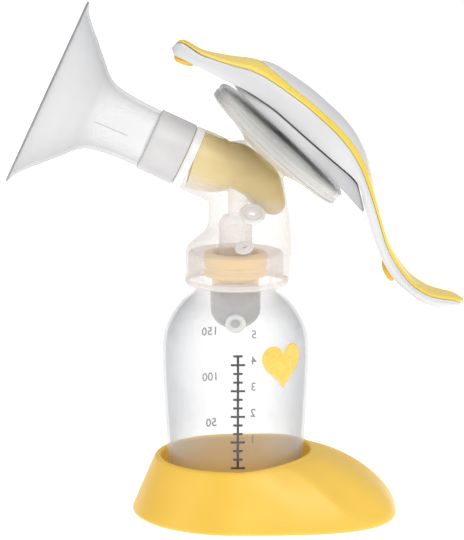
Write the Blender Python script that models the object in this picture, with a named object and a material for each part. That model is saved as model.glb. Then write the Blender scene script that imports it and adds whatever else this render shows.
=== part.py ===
"""Manual breast pump: funnel shield, clear connector, bottle in a stand, swan-shaped handle.

Lengths are metres, +Z is up, the table is z = 0.  Numbers written inside mm(...) are
millimetres.  The object is symmetric about the XZ plane: the shield points to -X and the
long end of the handle to +X.  Three part-frames are used:
  * the bottle axis (world Z),
  * the shield axis, which runs down into the connector,
  * the dish frame, P along the handle and Q out of the dish.
"""
import math

import bmesh
import bpy
from mathutils import Matrix, Vector

for old in list(bpy.data.objects):
    bpy.data.objects.remove(old, do_unlink=True)

MM = 0.001
GAP = 0.0003

# ---------------------------------------------------------------- driving dimensions
BOTTLE_R = 0.0302
BOTTLE_BASE_Z = 0.0056
NECK_OUT_R = 0.0172
NECK_IN_R = 0.0157
NECK_TOP_Z = 0.1083
COLLAR_R = 0.0213
COLLAR_BASE_Z = 0.0955
COLLAR_BORE_R = 0.0196
COLLAR_X = 0.0005
CEILING_Z = 0.1088

STAND_RIM_R = 0.0338
STAND_LEFT_R = 0.0427
STAND_TAIL_X = 0.0665
STAND_RIM_Z = 0.0237
STAND_TAIL_RISE = 0.0024
CUP_R = 0.0308
CUP_FLOOR_Z = 0.0053

SHIELD_RIM = Vector((-0.07675, 0.0, 0.17485))
SHIELD_PITCH = math.radians(25.0)
SHIELD_RIM_R = 0.0400

DISH_C = Vector((0.01915, 0.0, 0.15554))
DISH_TILT = math.radians(42.45)
GRIP_SHIFT = 0.00305

PIN_Q = 0.0050
PIN_R = 0.0014
STEM_R = 0.0030
HANDLE_WALL = 0.0022

SEGMENTS = 30

P_AXIS = Vector((math.cos(DISH_TILT), 0.0, -math.sin(DISH_TILT)))
Q_AXIS = Vector((math.sin(DISH_TILT), 0.0, math.cos(DISH_TILT)))
Y_AXIS = Vector((0.0, 1.0, 0.0))
S_AXIS = Vector((math.cos(SHIELD_PITCH), 0.0, -math.sin(SHIELD_PITCH)))
S_SIDE = Vector((math.sin(SHIELD_PITCH), 0.0, math.cos(SHIELD_PITCH)))


def mm(*pairs):
    """Pairs of millimetres as pairs of metres."""
    return [tuple(v * MM for v in pair) for pair in pairs]


def at(table, x):
    """Linear interpolation in a table of (x, value)."""
    if x <= table[0][0]:
        return table[0][1]
    for (x0, y0), (x1, y1) in zip(table, table[1:]):
        if x <= x1:
            return y0 + (y1 - y0) * (x - x0) / (x1 - x0)
    return table[-1][1]


# ---------------------------------------------------------------- materials
def material(name, rgb, rough, alpha=1.0, transmission=0.0, ior=1.49):
    """A plain Principled material; rgb is linear."""
    mat = bpy.data.materials.new(name)
    mat.use_nodes = True
    shader = mat.node_tree.nodes["Principled BSDF"]
    shader.inputs["Base Color"].default_value = (rgb[0], rgb[1], rgb[2], 1.0)
    shader.inputs["Roughness"].default_value = rough
    shader.inputs["Alpha"].default_value = alpha
    shader.inputs["Transmission Weight"].default_value = transmission
    shader.inputs["IOR"].default_value = ior
    mat.diffuse_color = (rgb[0], rgb[1], rgb[2], alpha)
    return mat


# ---------------------------------------------------------------- mesh helpers
def finish(name, verts, faces, mat):
    """A closed mesh object with its normals facing out."""
    mesh = bpy.data.meshes.new(name)
    mesh.from_pydata([tuple(v) for v in verts], [], faces)
    work = bmesh.new()
    work.from_mesh(mesh)
    bmesh.ops.recalc_face_normals(work, faces=work.faces)
    work.to_mesh(mesh)
    work.free()
    mesh.materials.append(mat)
    obj = bpy.data.objects.new(name, mesh)
    bpy.context.scene.collection.objects.link(obj)
    return obj


def rings_to_mesh(name, rings, mat, closed):
    """Loft through rings of points; closed joins the last ring to the first."""
    count = len(rings[0])
    verts = [p for ring in rings for p in ring]
    faces = []
    total = len(rings)
    for i in range(total if closed else total - 1):
        a = i * count
        b = ((i + 1) % total) * count
        for j in range(count):
            k = (j + 1) % count
            faces.append((a + j, a + k, b + k, b + j))
    if not closed:
        faces.append(tuple(range(count - 1, -1, -1)))
        faces.append(tuple(range((total - 1) * count, total * count)))
    return finish(name, verts, faces, mat)


def lathe(name, profile, origin, axis, side, mat, segments=SEGMENTS):
    """Turn (radius, height) pairs about an axis; ends on the axis close to one point."""
    across = axis.cross(side)
    verts = []
    rows = []
    for radius, height in profile:
        base = origin + axis * height
        if radius < 1e-7:
            rows.append([len(verts)])
            verts.append(base)
            continue
        row = []
        for k in range(segments):
            angle = 2.0 * math.pi * k / segments
            row.append(len(verts))
            verts.append(base + side * (radius * math.cos(angle)) + across * (radius * math.sin(angle)))
        rows.append(row)
    faces = []
    pairs = list(zip(rows, rows[1:]))
    if len(rows[0]) > 1:
        pairs.append((rows[-1], rows[0]))
    for low, high in pairs:
        for k in range(segments):
            n = (k + 1) % segments
            if len(low) == 1 and len(high) == 1:
                continue
            if len(low) == 1:
                faces.append((low[0], high[k], high[n]))
            elif len(high) == 1:
                faces.append((low[k], high[0], low[n]))
            else:
                faces.append((low[k], low[n], high[n], high[k]))
    return finish(name, verts, faces, mat)


def tube(name, path, radii, mat, segments=SEGMENTS, flat=1.0):
    """Loft circles along a path in the XZ plane; flat scales them across Y."""
    rings = []
    for i, point in enumerate(path):
        before = path[max(i - 1, 0)]
        after = path[min(i + 1, len(path) - 1)]
        run = (Vector(after) - Vector(before)).normalized()
        up = Y_AXIS.cross(run)
        ring = []
        for k in range(segments):
            angle = 2.0 * math.pi * k / segments
            spot = Vector(point) + up * (radii[i] * math.cos(angle))
            ring.append(spot + Y_AXIS * (radii[i] * flat * math.sin(angle)))
        rings.append(ring)
    return rings_to_mesh(name, rings, mat, False)


def dish_point(p, y, q):
    return DISH_C + P_AXIS * p + Y_AXIS * y + Q_AXIS * q


def grip_point(p, y, q):
    """A point of the handle tables, which start a little in front of the dish centre."""
    return dish_point(p - GRIP_SHIFT, y, q)


def block(name, low, high, mat, frame="world"):
    """A box between two corners, in world axes or in the dish frame."""
    verts = []
    for x in (low[0], high[0]):
        for y in (low[1], high[1]):
            for z in (low[2], high[2]):
                verts.append(dish_point(x, y, z) if frame == "dish" else Vector((x, y, z)))
    faces = [(0, 1, 3, 2), (4, 6, 7, 5), (0, 4, 5, 1), (2, 3, 7, 6), (0, 2, 6, 4), (1, 5, 7, 3)]
    return finish(name, verts, faces, mat)


def apply_boolean(target, tool, operation):
    """Apply an exact Boolean to target and remove the tool."""
    tool.hide_render = True
    tool.display_type = "WIRE"
    mod = target.modifiers.new(operation.lower(), "BOOLEAN")
    mod.operation = operation
    mod.solver = "EXACT"
    mod.object = tool
    bpy.context.view_layer.objects.active = target
    bpy.context.view_layer.update()
    bpy.ops.object.modifier_apply(modifier=mod.name)
    bpy.data.objects.remove(tool, do_unlink=True)
    return target


YELLOW = material("yellow_abs", (0.90, 0.60, 0.11), 0.38)
STAND_YELLOW = material("yellow_stand_abs", (0.93, 0.62, 0.13), 0.42)
VALVE_YELLOW = material("yellow_valve_pp", (0.88, 0.58, 0.14), 0.45)
CLEAR_PP = material("clear_polypropylene", (0.86, 0.87, 0.87), 0.25, 0.55, 0.6)
CLEAR_BOTTLE = material("clear_bottle_polypropylene", (0.88, 0.89, 0.89), 0.20, 0.45, 0.6)
CLEAR_SHIELD = material("clear_shield_polypropylene", (0.90, 0.91, 0.91), 0.22, 0.50, 0.6)
AMBER = material("amber_liner_polymer", (0.62, 0.46, 0.20), 0.35, 0.9, 0.2)
SILICONE = material("white_silicone_membrane", (0.80, 0.81, 0.81), 0.55, 0.9, 0.1)
DIAPHRAGM = material("translucent_silicone_diaphragm", (0.72, 0.72, 0.70), 0.50, 0.85, 0.2)
CAP = material("grey_translucent_cap", (0.56, 0.56, 0.54), 0.35, 0.8, 0.3)
WHITE = material("white_abs", (0.83, 0.83, 0.84), 0.35)
WHITE_CROWN = material("white_abs_gloss", (0.86, 0.86, 0.87), 0.25)
KEEL_WHITE = material("white_abs_keel", (0.78, 0.78, 0.79), 0.40)
BRACKET_WHITE = material("white_pom_bracket", (0.80, 0.80, 0.80), 0.40)
PAD = material("yellow_soft_pad", (0.90, 0.62, 0.15), 0.65)
STEM = material("white_pom_stem", (0.80, 0.80, 0.80), 0.35)
PIN = material("grey_pom_pin", (0.45, 0.45, 0.46), 0.35)
RING = material("clear_silicone_ring", (0.70, 0.70, 0.68), 0.45)
PLATE = material("white_pom_plate", (0.76, 0.76, 0.76), 0.40)


# ---------------------------------------------------------------- bottle stand
def stand_outline(angle):
    """Distance of the base edge from the bottle axis, an egg with a blunt tail."""
    c = abs(math.cos(angle))
    s = abs(math.sin(angle))
    if math.cos(angle) < 0.0:
        return STAND_LEFT_R
    return ((c / STAND_TAIL_X) ** 3 + (s / STAND_LEFT_R) ** 3) ** (-1.0 / 3.0)


def stand_profile(angle):
    """One closed outline from the middle of the cup floor round to the underside."""
    tail = max(0.0, math.cos(angle))
    tail = tail * tail * (3.0 - 2.0 * tail)
    rim = STAND_RIM_Z + STAND_TAIL_RISE * tail
    foot = stand_outline(angle)
    power = 1.02 + 0.43 * tail
    rows = [(0.012, CUP_FLOOR_Z), (0.0275, CUP_FLOOR_Z), (CUP_R - 0.0006, 0.0080)]
    rows += [(CUP_R, rim - 0.0008), (CUP_R + 0.0006, rim), (STAND_RIM_R - 0.0010, rim)]
    steps = 5
    for k in range(steps + 1):
        turn = 0.5 * math.pi * k / steps
        reach = math.sin(turn) ** (2.0 / power) if k else 0.0
        drop = math.cos(turn) ** (2.0 / power) if k < steps else 0.0
        rows.append((STAND_RIM_R + (foot - STAND_RIM_R) * reach, 0.0010 + (rim - 0.0018) * drop))
    rows += [(foot - 0.0008, 0.0), (foot - 0.0036, 0.0)]
    inner_top = 0.0355
    for reach, drop in ((0.95, 0.06), (0.62, 0.40), (0.18, 0.74)):
        rows.append((inner_top + (foot - 0.0042 - inner_top) * reach, 0.0012 + (rim - 0.0060) * drop))
    rows += [(0.0336, 0.0012 + (rim - 0.0060) * 0.72), (0.0333, 0.0042), (0.0290, 0.0027)]
    rows.append((0.012, 0.0027))
    return rows


stand_angles = [2.0 * math.pi * k / 40 for k in range(40)]
stand_rows = [stand_profile(a) for a in stand_angles]
stand_verts = [Vector((0.0, 0.0, CUP_FLOOR_Z)), Vector((0.0, 0.0, 0.0027))]
stand_index = []
for a, rows in zip(stand_angles, stand_rows):
    column = []
    for r, z in rows:
        column.append(len(stand_verts))
        stand_verts.append(Vector((r * math.cos(a), r * math.sin(a), z)))
    stand_index.append(column)
stand_faces = []
for i, column in enumerate(stand_index):
    other = stand_index[(i + 1) % len(stand_index)]
    stand_faces.append((0, column[0], other[0]))
    stand_faces.append((1, other[-1], column[-1]))
    for j in range(len(column) - 1):
        stand_faces.append((column[j], column[j + 1], other[j + 1], other[j]))
bottle_stand = finish("bottle_stand", stand_verts, stand_faces, STAND_YELLOW)


# ---------------------------------------------------------------- bottle
bottle_profile = mm(
    (0.0, 7.0), (20.0, 6.7), (23.5, 5.6), (26.3, 5.6), (28.0, 7.3), (28.3, 26.0), (29.0, 40.0),
    (29.8, 54.0), (30.2, 66.0), (29.7, 73.6), (28.3, 78.4), (25.7, 83.4), (22.1, 88.0),
    (18.8, 91.3), (17.2, 94.0), (17.2, 96.6), (18.8, 97.2), (18.8, 98.6), (17.2, 99.2),
    (17.2, 101.0), (18.8, 101.6), (18.8, 103.0), (17.2, 103.6), (17.2, 107.7), (16.7, 108.3),
    (15.9, 108.3), (15.6, 107.7), (15.6, 93.6), (16.7, 91.1), (20.6, 87.0), (24.3, 82.4),
    (26.9, 77.8), (28.3, 73.2), (28.8, 66.0), (28.4, 54.0), (27.6, 40.0), (26.9, 26.0),
    (26.6, 9.0), (24.6, 7.2), (23.6, 7.1), (19.4, 8.3), (0.0, 8.6))
ORIGIN = Vector((0.0, 0.0, 0.0))
UP = Vector((0.0, 0.0, 1.0))
RIGHT = Vector((1.0, 0.0, 0.0))
bottle = lathe("bottle", bottle_profile, ORIGIN, UP, RIGHT, CLEAR_BOTTLE)


# ---------------------------------------------------------------- connector
def oval_ring(x, z, half_x, half_y, count=SEGMENTS):
    ring = []
    for k in range(count):
        angle = 2.0 * math.pi * k / count
        ring.append(Vector((x + half_x * math.cos(angle), half_y * math.sin(angle), z)))
    return ring


body_table = (
    (0.5, 95.5, 21.0, 21.0), (0.5, 96.2, 21.4, 21.4), (1.0, 106.5, 21.6, 21.5),
    (1.2, 108.6, 21.8, 21.5), (1.7, 111.6, 21.2, 20.6), (3.5, 114.6, 19.3, 18.0),
    (5.0, 117.4, 17.6, 15.6), (5.5, 122.3, 16.7, 14.4), (5.2, 126.8, 16.3, 14.2),
    (4.9, 131.5, 15.9, 14.2), (4.6, 137.0, 15.2, 14.2), (4.6, 142.5, 14.3, 14.2),
    (4.6, 148.0, 12.6, 12.8), (4.6, 151.6, 10.4, 10.6), (4.6, 153.8, 7.6, 7.8))
body_rings = [oval_ring(x * MM, z * MM, a * MM, b * MM) for x, z, a, b in body_table]
connector_body = rings_to_mesh("connector_body", body_rings, CLEAR_PP, False)
dome_cut = lathe("dome_cut", mm((0.0, -10.3), (29.0, -10.3), (29.0, 20.0), (0.0, 20.0)),
                 DISH_C, Q_AXIS, P_AXIS, CLEAR_PP)
apply_boolean(connector_body, dome_cut, "DIFFERENCE")


def shield_point(s):
    return SHIELD_RIM + S_AXIS * s


nozzle_profile = mm((0.0, 48.0), (10.8, 48.0), (11.4, 48.8), (11.4, 61.7), (12.9, 62.0), (12.9, 65.3),
                    (13.3, 66.2), (13.3, 84.0), (0.0, 84.0))
nozzle = lathe("nozzle_solid", nozzle_profile, SHIELD_RIM, S_AXIS, S_SIDE, CLEAR_PP)
apply_boolean(connector_body, nozzle, "UNION")

dish_profile = mm((0.0, -22.0), (9.0, -22.0), (9.4, -16.0), (10.2, -11.4), (13.6, -9.7), (19.6, -8.1),
                  (26.2, -6.7), (31.8, -6.0), (33.0, -5.5), (33.0, -4.9), (31.4, -4.9), (31.4, -3.0),
                  (29.9, -3.0), (28.9, -4.6), (26.2, -5.3), (14.0, -8.2), (9.4, -9.2), (0.0, -9.3))
dish = lathe("dish_solid", dish_profile, DISH_C, Q_AXIS, P_AXIS, CLEAR_PP)
apply_boolean(connector_body, dish, "UNION")

liner_path = mm((-17.1, 147.0), (-8.4, 144.7), (-0.5, 144.2), (4.4, 141.7), (9.4, 137.9), (11.9, 133.8),
                (15.2, 128.8), (17.0, 126.0), (17.6, 124.9))
liner_path = [Vector((x, 0.0, z)) for x, z in liner_path]
liner_radii = [r * MM for r in (12.0, 11.6, 10.0, 8.8, 8.4, 7.6, 5.4, 3.6, 1.6)]
liner_room = tube("liner_room", liner_path, [r + GAP for r in liner_radii], CLEAR_PP)
for vert in liner_room.data.vertices:
    if (Vector(vert.co) - liner_path[0]).dot(liner_path[1] - liner_path[0]) < 1e-6:
        vert.co = Vector(vert.co) - (liner_path[1] - liner_path[0]).normalized() * GAP
    if (Vector(vert.co) - liner_path[-1]).dot(liner_path[-1] - liner_path[-2]) > -1e-6:
        vert.co = Vector(vert.co) + (liner_path[-1] - liner_path[-2]).normalized() * GAP
apply_boolean(connector_body, liner_room, "DIFFERENCE")

bore = lathe("nozzle_bore", mm((0.0, 40.0), (9.4, 40.0), (9.4, 63.0), (0.0, 63.0)),
             SHIELD_RIM, S_AXIS, S_SIDE, CLEAR_PP)
apply_boolean(connector_body, bore, "DIFFERENCE")

collar_room = lathe("collar_room", mm((0.0, 90.0), (19.6, 90.0), (19.6, 108.8), (9.4, 108.8), (9.4, 100.0),
                                      (0.0, 100.0)), ORIGIN, UP, RIGHT, CLEAR_PP)
apply_boolean(connector_body, collar_room, "DIFFERENCE")
drop_bore = lathe("drop_bore", mm((0.0, 90.0), (6.8, 90.0), (6.8, 121.0), (5.0, 124.0), (0.0, 124.0)),
                  ORIGIN, UP, RIGHT, CLEAR_PP)
apply_boolean(connector_body, drop_bore, "DIFFERENCE")
duct = lathe("milk_duct", mm((0.0, -3.0), (4.2, -3.0), (4.2, 15.0), (0.0, 15.0)),
             Vector((0.001, 0.0, 0.1205)), UP, RIGHT, CLEAR_PP, 24)
apply_boolean(connector_body, duct, "DIFFERENCE")
air_bore = lathe("air_bore", mm((0.0, -16.0), (2.2, -16.0), (2.2, -4.0), (0.0, -4.0)),
                 DISH_C, Q_AXIS, P_AXIS, CLEAR_PP, 20)
apply_boolean(connector_body, air_bore, "DIFFERENCE")

# the amber duct: open at the shield side, rounded at its lower end
connector_liner = tube("connector_liner", liner_path, liner_radii, AMBER)
liner_core_path = [liner_path[0] - (liner_path[1] - liner_path[0]) * 0.2] + liner_path[1:7]
liner_core = tube("liner_core", liner_core_path, [r * MM for r in (10.5, 10.1, 8.5, 7.3, 6.9, 6.1, 3.9)], AMBER)
apply_boolean(connector_liner, liner_core, "DIFFERENCE")
liner_hole = lathe("liner_hole", mm((0.0, 0.0), (4.0, 0.0), (4.0, 17.0), (0.0, 17.0)),
                   Vector((0.001, 0.0, 0.1210)), UP, RIGHT, AMBER, 24)
apply_boolean(connector_liner, liner_hole, "DIFFERENCE")


# ---------------------------------------------------------------- valve and membrane
valve_profile = mm((0.0, 77.6), (3.5, 77.9), (6.4, 79.3), (8.4, 81.7), (9.4, 84.6), (9.6, 88.0), (9.6, 98.7),
                   (13.0, 99.3), (13.0, 108.0), (12.6, 108.5), (9.7, 108.5), (9.7, 99.7), (8.2, 99.4),
                   (8.2, 88.0), (8.0, 85.2), (7.1, 82.9), (5.4, 80.7), (3.0, 79.5), (0.0, 79.2))
valve_head = lathe("valve_head", valve_profile, ORIGIN, UP, RIGHT, VALVE_YELLOW)
FLAP_TOP = Vector((0.0, -0.0094, 0.0978))
FLAP_TILT = math.radians(20.0)
FLAP_HALF = 0.0102
FLAP_DOWN = Vector((0.0, math.sin(FLAP_TILT), -math.cos(FLAP_TILT)))
FLAP_OUT = Vector((0.0, -math.cos(FLAP_TILT), -math.sin(FLAP_TILT)))


def flap_point(x, down, out):
    return FLAP_TOP + RIGHT * x + FLAP_DOWN * down + FLAP_OUT * out


cut_verts = []
for x in (-0.02, 0.02):
    for down in (-0.0001, 0.030):
        for out in (0.0, 0.020):
            cut_verts.append(flap_point(x, down, out))
face_cut = finish("valve_face_cut", cut_verts,
                  [(0, 1, 3, 2), (4, 6, 7, 5), (0, 4, 5, 1), (2, 3, 7, 6), (0, 2, 6, 4), (1, 5, 7, 3)],
                  VALVE_YELLOW)
apply_boolean(valve_head, face_cut, "DIFFERENCE")

flap_outline = []
for k in range(13):
    angle = math.pi * k / 12
    flap_outline.append((FLAP_HALF * math.cos(angle), 0.0115 + FLAP_HALF * math.sin(angle)))
flap_outline += [(-FLAP_HALF, 0.0022), (-0.0087, 0.0006), (0.0087, 0.0006), (FLAP_HALF, 0.0022)]
flap_rings = []
for out in (GAP, GAP + 0.0011):
    flap_rings.append([flap_point(x, d, out) for x, d in flap_outline])
valve_membrane = rings_to_mesh("valve_membrane", flap_rings, SILICONE, False)
knob = lathe("membrane_knob", mm((0.0, 0.9), (4.2, 0.9), (4.2, 2.2), (3.4, 2.6), (2.4, 2.6), (2.0, 2.0),
                                 (0.0, 2.0)), FLAP_TOP + FLAP_DOWN * 0.0190, FLAP_OUT, RIGHT, SILICONE, 24)
apply_boolean(valve_membrane, knob, "UNION")


# ---------------------------------------------------------------- breast shield
shield_profile = [(r, s) for s, r in mm(
    (0.0, 39.6), (0.5, 40.0), (1.2, 39.8), (1.6, 37.2), (3.6, 34.7), (10.0, 27.9), (13.0, 24.7),
    (17.0, 20.6), (20.7, 16.5), (24.5, 14.4), (30.0, 13.2), (38.0, 12.5), (45.8, 12.3), (46.3, 13.05),
    (61.0, 13.05), (61.4, 12.7), (61.4, 11.75), (46.9, 11.75), (46.3, 10.8), (38.0, 11.0), (30.0, 11.7),
    (24.5, 12.8), (20.7, 14.9), (17.0, 18.9), (13.0, 23.2), (10.0, 26.4), (3.6, 33.2), (0.6, 36.6),
    (0.0, 37.8))]
breast_shield = lathe("breast_shield", shield_profile, SHIELD_RIM, S_AXIS, S_SIDE, CLEAR_SHIELD, 36)


# ---------------------------------------------------------------- dish parts
diaphragm_profile = mm((3.4, -7.1), (9.0, -7.1), (12.0, -5.8), (17.0, -6.2), (22.0, -4.4), (27.0, -2.9),
                       (29.2, -2.7), (31.1, -2.7), (31.1, -1.7), (28.6, -1.7), (26.4, -2.0), (21.6, -3.5),
                       (17.0, -5.3), (12.2, -4.9), (8.8, -6.2), (3.4, -6.2))
diaphragm = lathe("diaphragm", diaphragm_profile, DISH_C, Q_AXIS, P_AXIS, DIAPHRAGM)

cap_profile = mm((31.8, -4.6), (33.2, -4.6), (33.2, -0.6), (32.4, 0.0), (24.0, 0.6), (14.0, 1.0),
                 (6.2, 1.2), (5.5, 0.9), (5.5, 0.2), (14.0, -0.2), (24.0, -0.6), (30.3, -1.0),
                 (30.9, -1.4), (31.4, -1.4), (31.8, -1.8))
diaphragm_cap = lathe("diaphragm_cap", cap_profile, DISH_C, Q_AXIS, P_AXIS, CAP, 36)

piston_plate = lathe("piston_plate", mm((0.0, -8.7), (7.6, -8.7), (8.0, -8.3), (8.0, -7.4), (0.0, -7.4)),
                     DISH_C, Q_AXIS, P_AXIS, PLATE, 32)
stem = lathe("stem", mm((0.0, -7.1), (3.0, -7.1), (3.0, -1.0), (2.4, -0.8), (2.4, 0.6), (3.0, 0.8),
                        (3.0, 2.6), (0.0, 2.6)), DISH_C, Q_AXIS, P_AXIS, STEM, 28)
eye = lathe("stem_eye", mm((0.0, -4.1), (3.2, -4.1), (3.2, 4.1), (0.0, 4.1)),
            dish_point(0.0, 0.0, PIN_Q), Y_AXIS, P_AXIS, STEM, 28)
apply_boolean(stem, eye, "UNION")
eye_hole = lathe("eye_hole", mm((0.0, -6.0), (1.7, -6.0), (1.7, 6.0), (0.0, 6.0)),
                 dish_point(0.0, 0.0, PIN_Q), Y_AXIS, P_AXIS, STEM, 20)
apply_boolean(stem, eye_hole, "DIFFERENCE")
stem_o_ring = lathe("stem_o_ring", mm((2.7, -0.4), (3.3, -0.7), (3.9, -0.5), (4.2, 0.0), (3.9, 0.4),
                                      (3.3, 0.5), (2.7, 0.3)), DISH_C, Q_AXIS, P_AXIS, RING, 28)
stem_pin = lathe("stem_pin", mm((0.0, -7.4), (1.1, -7.4), (1.4, -7.1), (1.4, 7.1), (1.1, 7.4), (0.0, 7.4)),
                 dish_point(0.0, 0.0, PIN_Q), Y_AXIS, P_AXIS, PIN, 20)


# ---------------------------------------------------------------- handle tables, P -> Q
LOW = mm((-54.9, -3.2), (-52.4, -4.1), (-46.1, -2.1), (-39.7, 0.0), (-33.1, 2.1), (-27.8, 3.8), (-23.4, 5.4),
         (-17.0, 6.8), (-8.0, 8.0), (0.6, 8.2), (8.8, 8.3), (23.1, 8.6), (31.5, 8.8), (35.0, 8.5),
         (40.7, 5.9), (48.4, 0.7), (56.1, -3.8), (67.2, -9.0), (77.2, -11.3), (87.0, -10.9),
         (94.3, -8.6), (99.9, -5.0), (103.0, -2.8))
SIDE = mm((-54.9, -0.2), (-53.2, 1.4), (-45.2, 3.0), (-39.5, 5.6), (-32.8, 9.3), (-26.0, 13.1), (-18.9, 15.2),
          (-8.4, 16.8), (1.7, 17.7), (12.8, 17.8), (21.8, 16.9), (31.5, 14.3), (41.8, 9.3), (52.5, 3.1),
          (63.9, -3.5), (72.0, -6.4), (81.5, -8.0), (88.7, -7.0), (94.8, -4.2), (99.1, -1.6), (103.0, -0.4))
WIDE = mm((-54.9, 2.4), (-54.2, 4.0), (-52.6, 5.4), (-48.0, 7.2), (-40.0, 9.8), (-30.0, 13.0),
          (-20.0, 15.4), (-8.0, 17.0), (5.0, 17.6), (18.0, 17.4), (30.0, 16.4), (43.0, 15.0),
          (58.0, 13.2), (72.0, 12.2), (84.0, 11.6), (94.0, 10.2), (99.0, 8.0), (102.0, 5.2),
          (103.0, 3.0))
CROWNING = mm((-54.9, 0.2), (-45.0, 0.3), (-36.0, 0.8), (-28.0, 2.0), (-18.0, 2.6), (-5.0, 2.6), (18.0, 2.6),
              (34.0, 1.8), (46.0, 0.6), (56.0, -0.2), (75.0, -0.3), (90.0, 0.1), (103.0, 0.1))
INLAY_SHARE = ((-0.0549, 0.50), (-0.0480, 0.60), (-0.0420, 0.78), (-0.0360, 0.95), (-0.0300, 1.0),
               (0.0600, 1.0), (0.0750, 0.92), (0.1030, 0.88))
INLAY_THICK = 0.0010
CROWN_THICK = 0.0009
STATIONS = [v * MM for v in (-54.9, -54.2, -52.6, -50.5, -47.5, -44.0, -40.5, -37.0, -33.0, -29.0,
                             -25.0, -20.0, -14.0, -7.0, 0.0, 8.0, 16.0, 22.0, 27.0, 32.0, 37.0, 42.0,
                             48.0, 54.0, 60.0, 66.0, 72.0, 78.0, 84.0, 89.0, 93.5, 97.5, 100.2, 102.0,
                             103.0)]


def rise(p, share):
    """Height of the crowned top over its edge, at a share of the half width."""
    return at(CROWNING, p) * (1.0 - share * share)


shell_rings = []
inlay_rings = []
for p in STATIONS:
    half = at(WIDE, p)
    low = at(LOW, p)
    side = at(SIDE, p)
    ceiling = low + max(0.0004, side - HANDLE_WALL - low)
    lip = min(0.0020, half * 0.3)
    ring = [(-half + 0.0004, low), (-half, low + 0.0006), (-half, side - 0.0005), (-half + 0.0004, side)]
    ring += [(t * half, side + rise(p, t)) for t in (-0.6, -0.2, 0.2, 0.6)]
    ring += [(half - 0.0004, side), (half, side - 0.0005), (half, low + 0.0006), (half - 0.0004, low)]
    ring += [(half - lip, low), (half - lip - 0.0003, ceiling), (-half + lip + 0.0003, ceiling),
             (-half + lip, low)]
    shell_rings.append([grip_point(p, y, q) for y, q in ring])
    share = at(INLAY_SHARE, p)
    thick = INLAY_THICK * min(1.0, 0.4 + 0.6 * share)
    edge = share * half
    base = side + GAP
    foot = base + rise(p, share)
    ring = [(-edge + 0.0001, foot), (-edge, foot + 0.3 * thick)]
    ring += [(-edge + 0.0004, foot + 0.8 * thick)]
    ring += [(t * edge, base + thick + rise(p, t * share)) for t in (-0.9, -0.5, 0.0, 0.5, 0.9)]
    ring += [(edge - 0.0004, foot + 0.8 * thick), (edge, foot + 0.3 * thick)]
    ring += [(edge - 0.0001, foot)]
    ring += [(t * edge, base + rise(p, t * share)) for t in (0.6, 0.2, -0.2, -0.6)]
    inlay_rings.append([grip_point(p, y, q) for y, q in ring])
handle_shell = rings_to_mesh("handle_shell", shell_rings, WHITE, False)
handle_grip_inlay = rings_to_mesh("handle_grip_inlay", inlay_rings, YELLOW, False)

CROWN_SHARE = 0.84
crown_rings = []
for p in [v * MM for v in (-24.5, -23.0, -20.0, -15.0, -7.0, 0.0, 8.0, 15.0, 21.0, 27.0, 32.0, 37.0, 41.0,
                           42.8)]:
    half = at(WIDE, p)
    share = CROWN_SHARE * min(1.0, 0.45 + (p + 0.0245) / 0.012) * min(1.0, 0.5 + (0.0428 - p) / 0.016)
    floor = at(SIDE, p) + GAP + INLAY_THICK + GAP
    ring = [(t * share * half, floor + rise(p, t * share)) for t in (-1.0, -0.5, 0.0, 0.5, 1.0)]
    for t in (1.0, 0.8, 0.3, -0.3, -0.8, -1.0):
        lift = 0.0004 + CROWN_THICK * (1.0 - t * t)
        ring.append((t * share * half, floor + rise(p, t * share) + lift))
    crown_rings.append([grip_point(p, y, q) for y, q in ring])
handle_crown = rings_to_mesh("handle_crown", crown_rings, WHITE_CROWN, False)


def pad(name, p0, p1, half, thick):
    """A low pad glued under the shell between two stations."""
    rings = []
    steps = 6
    for k in range(steps + 1):
        p = p0 + (p1 - p0) * k / steps
        slim = math.sin(math.pi * (0.12 + 0.76 * k / steps))
        roof = at(LOW, p) - GAP
        w = half * (0.55 + 0.45 * slim)
        depth = thick * (0.35 + 0.65 * slim)
        ring = [(-w, roof), (w, roof), (w, roof - 0.5 * depth), (w - 0.0010, roof - depth),
                (-w + 0.0010, roof - depth), (-w, roof - 0.5 * depth)]
        rings.append([grip_point(p, y, q) for y, q in ring])
    return rings_to_mesh(name, rings, PAD, False)


front_finger_pad = pad("front_finger_pad", -0.0520, -0.0440, 0.0070, 0.0018)
rear_finger_pad = pad("rear_finger_pad", 0.0680, 0.0757, 0.0095, 0.0022)

# rocker under the shell: a boat-shaped plate with a round well for the stem eye and its bracket ears
KEEL_EDGE = mm((-26.6, 3.1), (-24.0, 2.9), (-16.4, 2.8), (-6.4, 3.1), (1.8, 3.1), (11.7, 2.8), (20.5, 2.5),
               (28.8, 2.2), (34.6, 2.0), (40.0, 1.4), (46.2, 0.6))
KEEL_WIDE = mm((-26.6, 3.0), (-25.8, 5.6), (-24.0, 8.8), (-20.0, 12.2), (-14.0, 14.6), (-6.0, 16.2), (4.0, 16.8),
               (16.0, 16.8), (26.0, 15.8), (36.0, 14.6), (42.0, 13.4), (45.4, 11.6), (46.2, 10.6))
KEEL_CURL = mm((-26.6, 0.1), (-22.0, 0.5), (-12.0, 1.1), (14.0, 1.1), (28.0, 0.6), (34.0, 0.3), (46.2, 0.2))
keel_rings = []
for p in [v * MM for v in (-26.6, -25.8, -24.0, -20.0, -14.0, -6.0, 0.0, 6.0, 12.0, 18.0, 24.0, 30.0, 35.0,
                           39.0, 42.5, 45.4, 46.2)]:
    half = at(KEEL_WIDE, p)
    edge = at(KEEL_EDGE, p)
    curl = at(KEEL_CURL, p)
    roof = max(at(LOW, p) - 0.0006, edge + 0.0006)
    ring = [(t * half, edge + curl * (t * t - 1.0)) for t in (-1.0, -0.6, -0.2, 0.2, 0.6, 1.0)]
    ring += [(half, roof - 0.0004), (half - 0.0004, roof), (-half + 0.0004, roof), (-half, roof - 0.0004)]
    keel_rings.append([grip_point(p, y, q) for y, q in ring])
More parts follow.
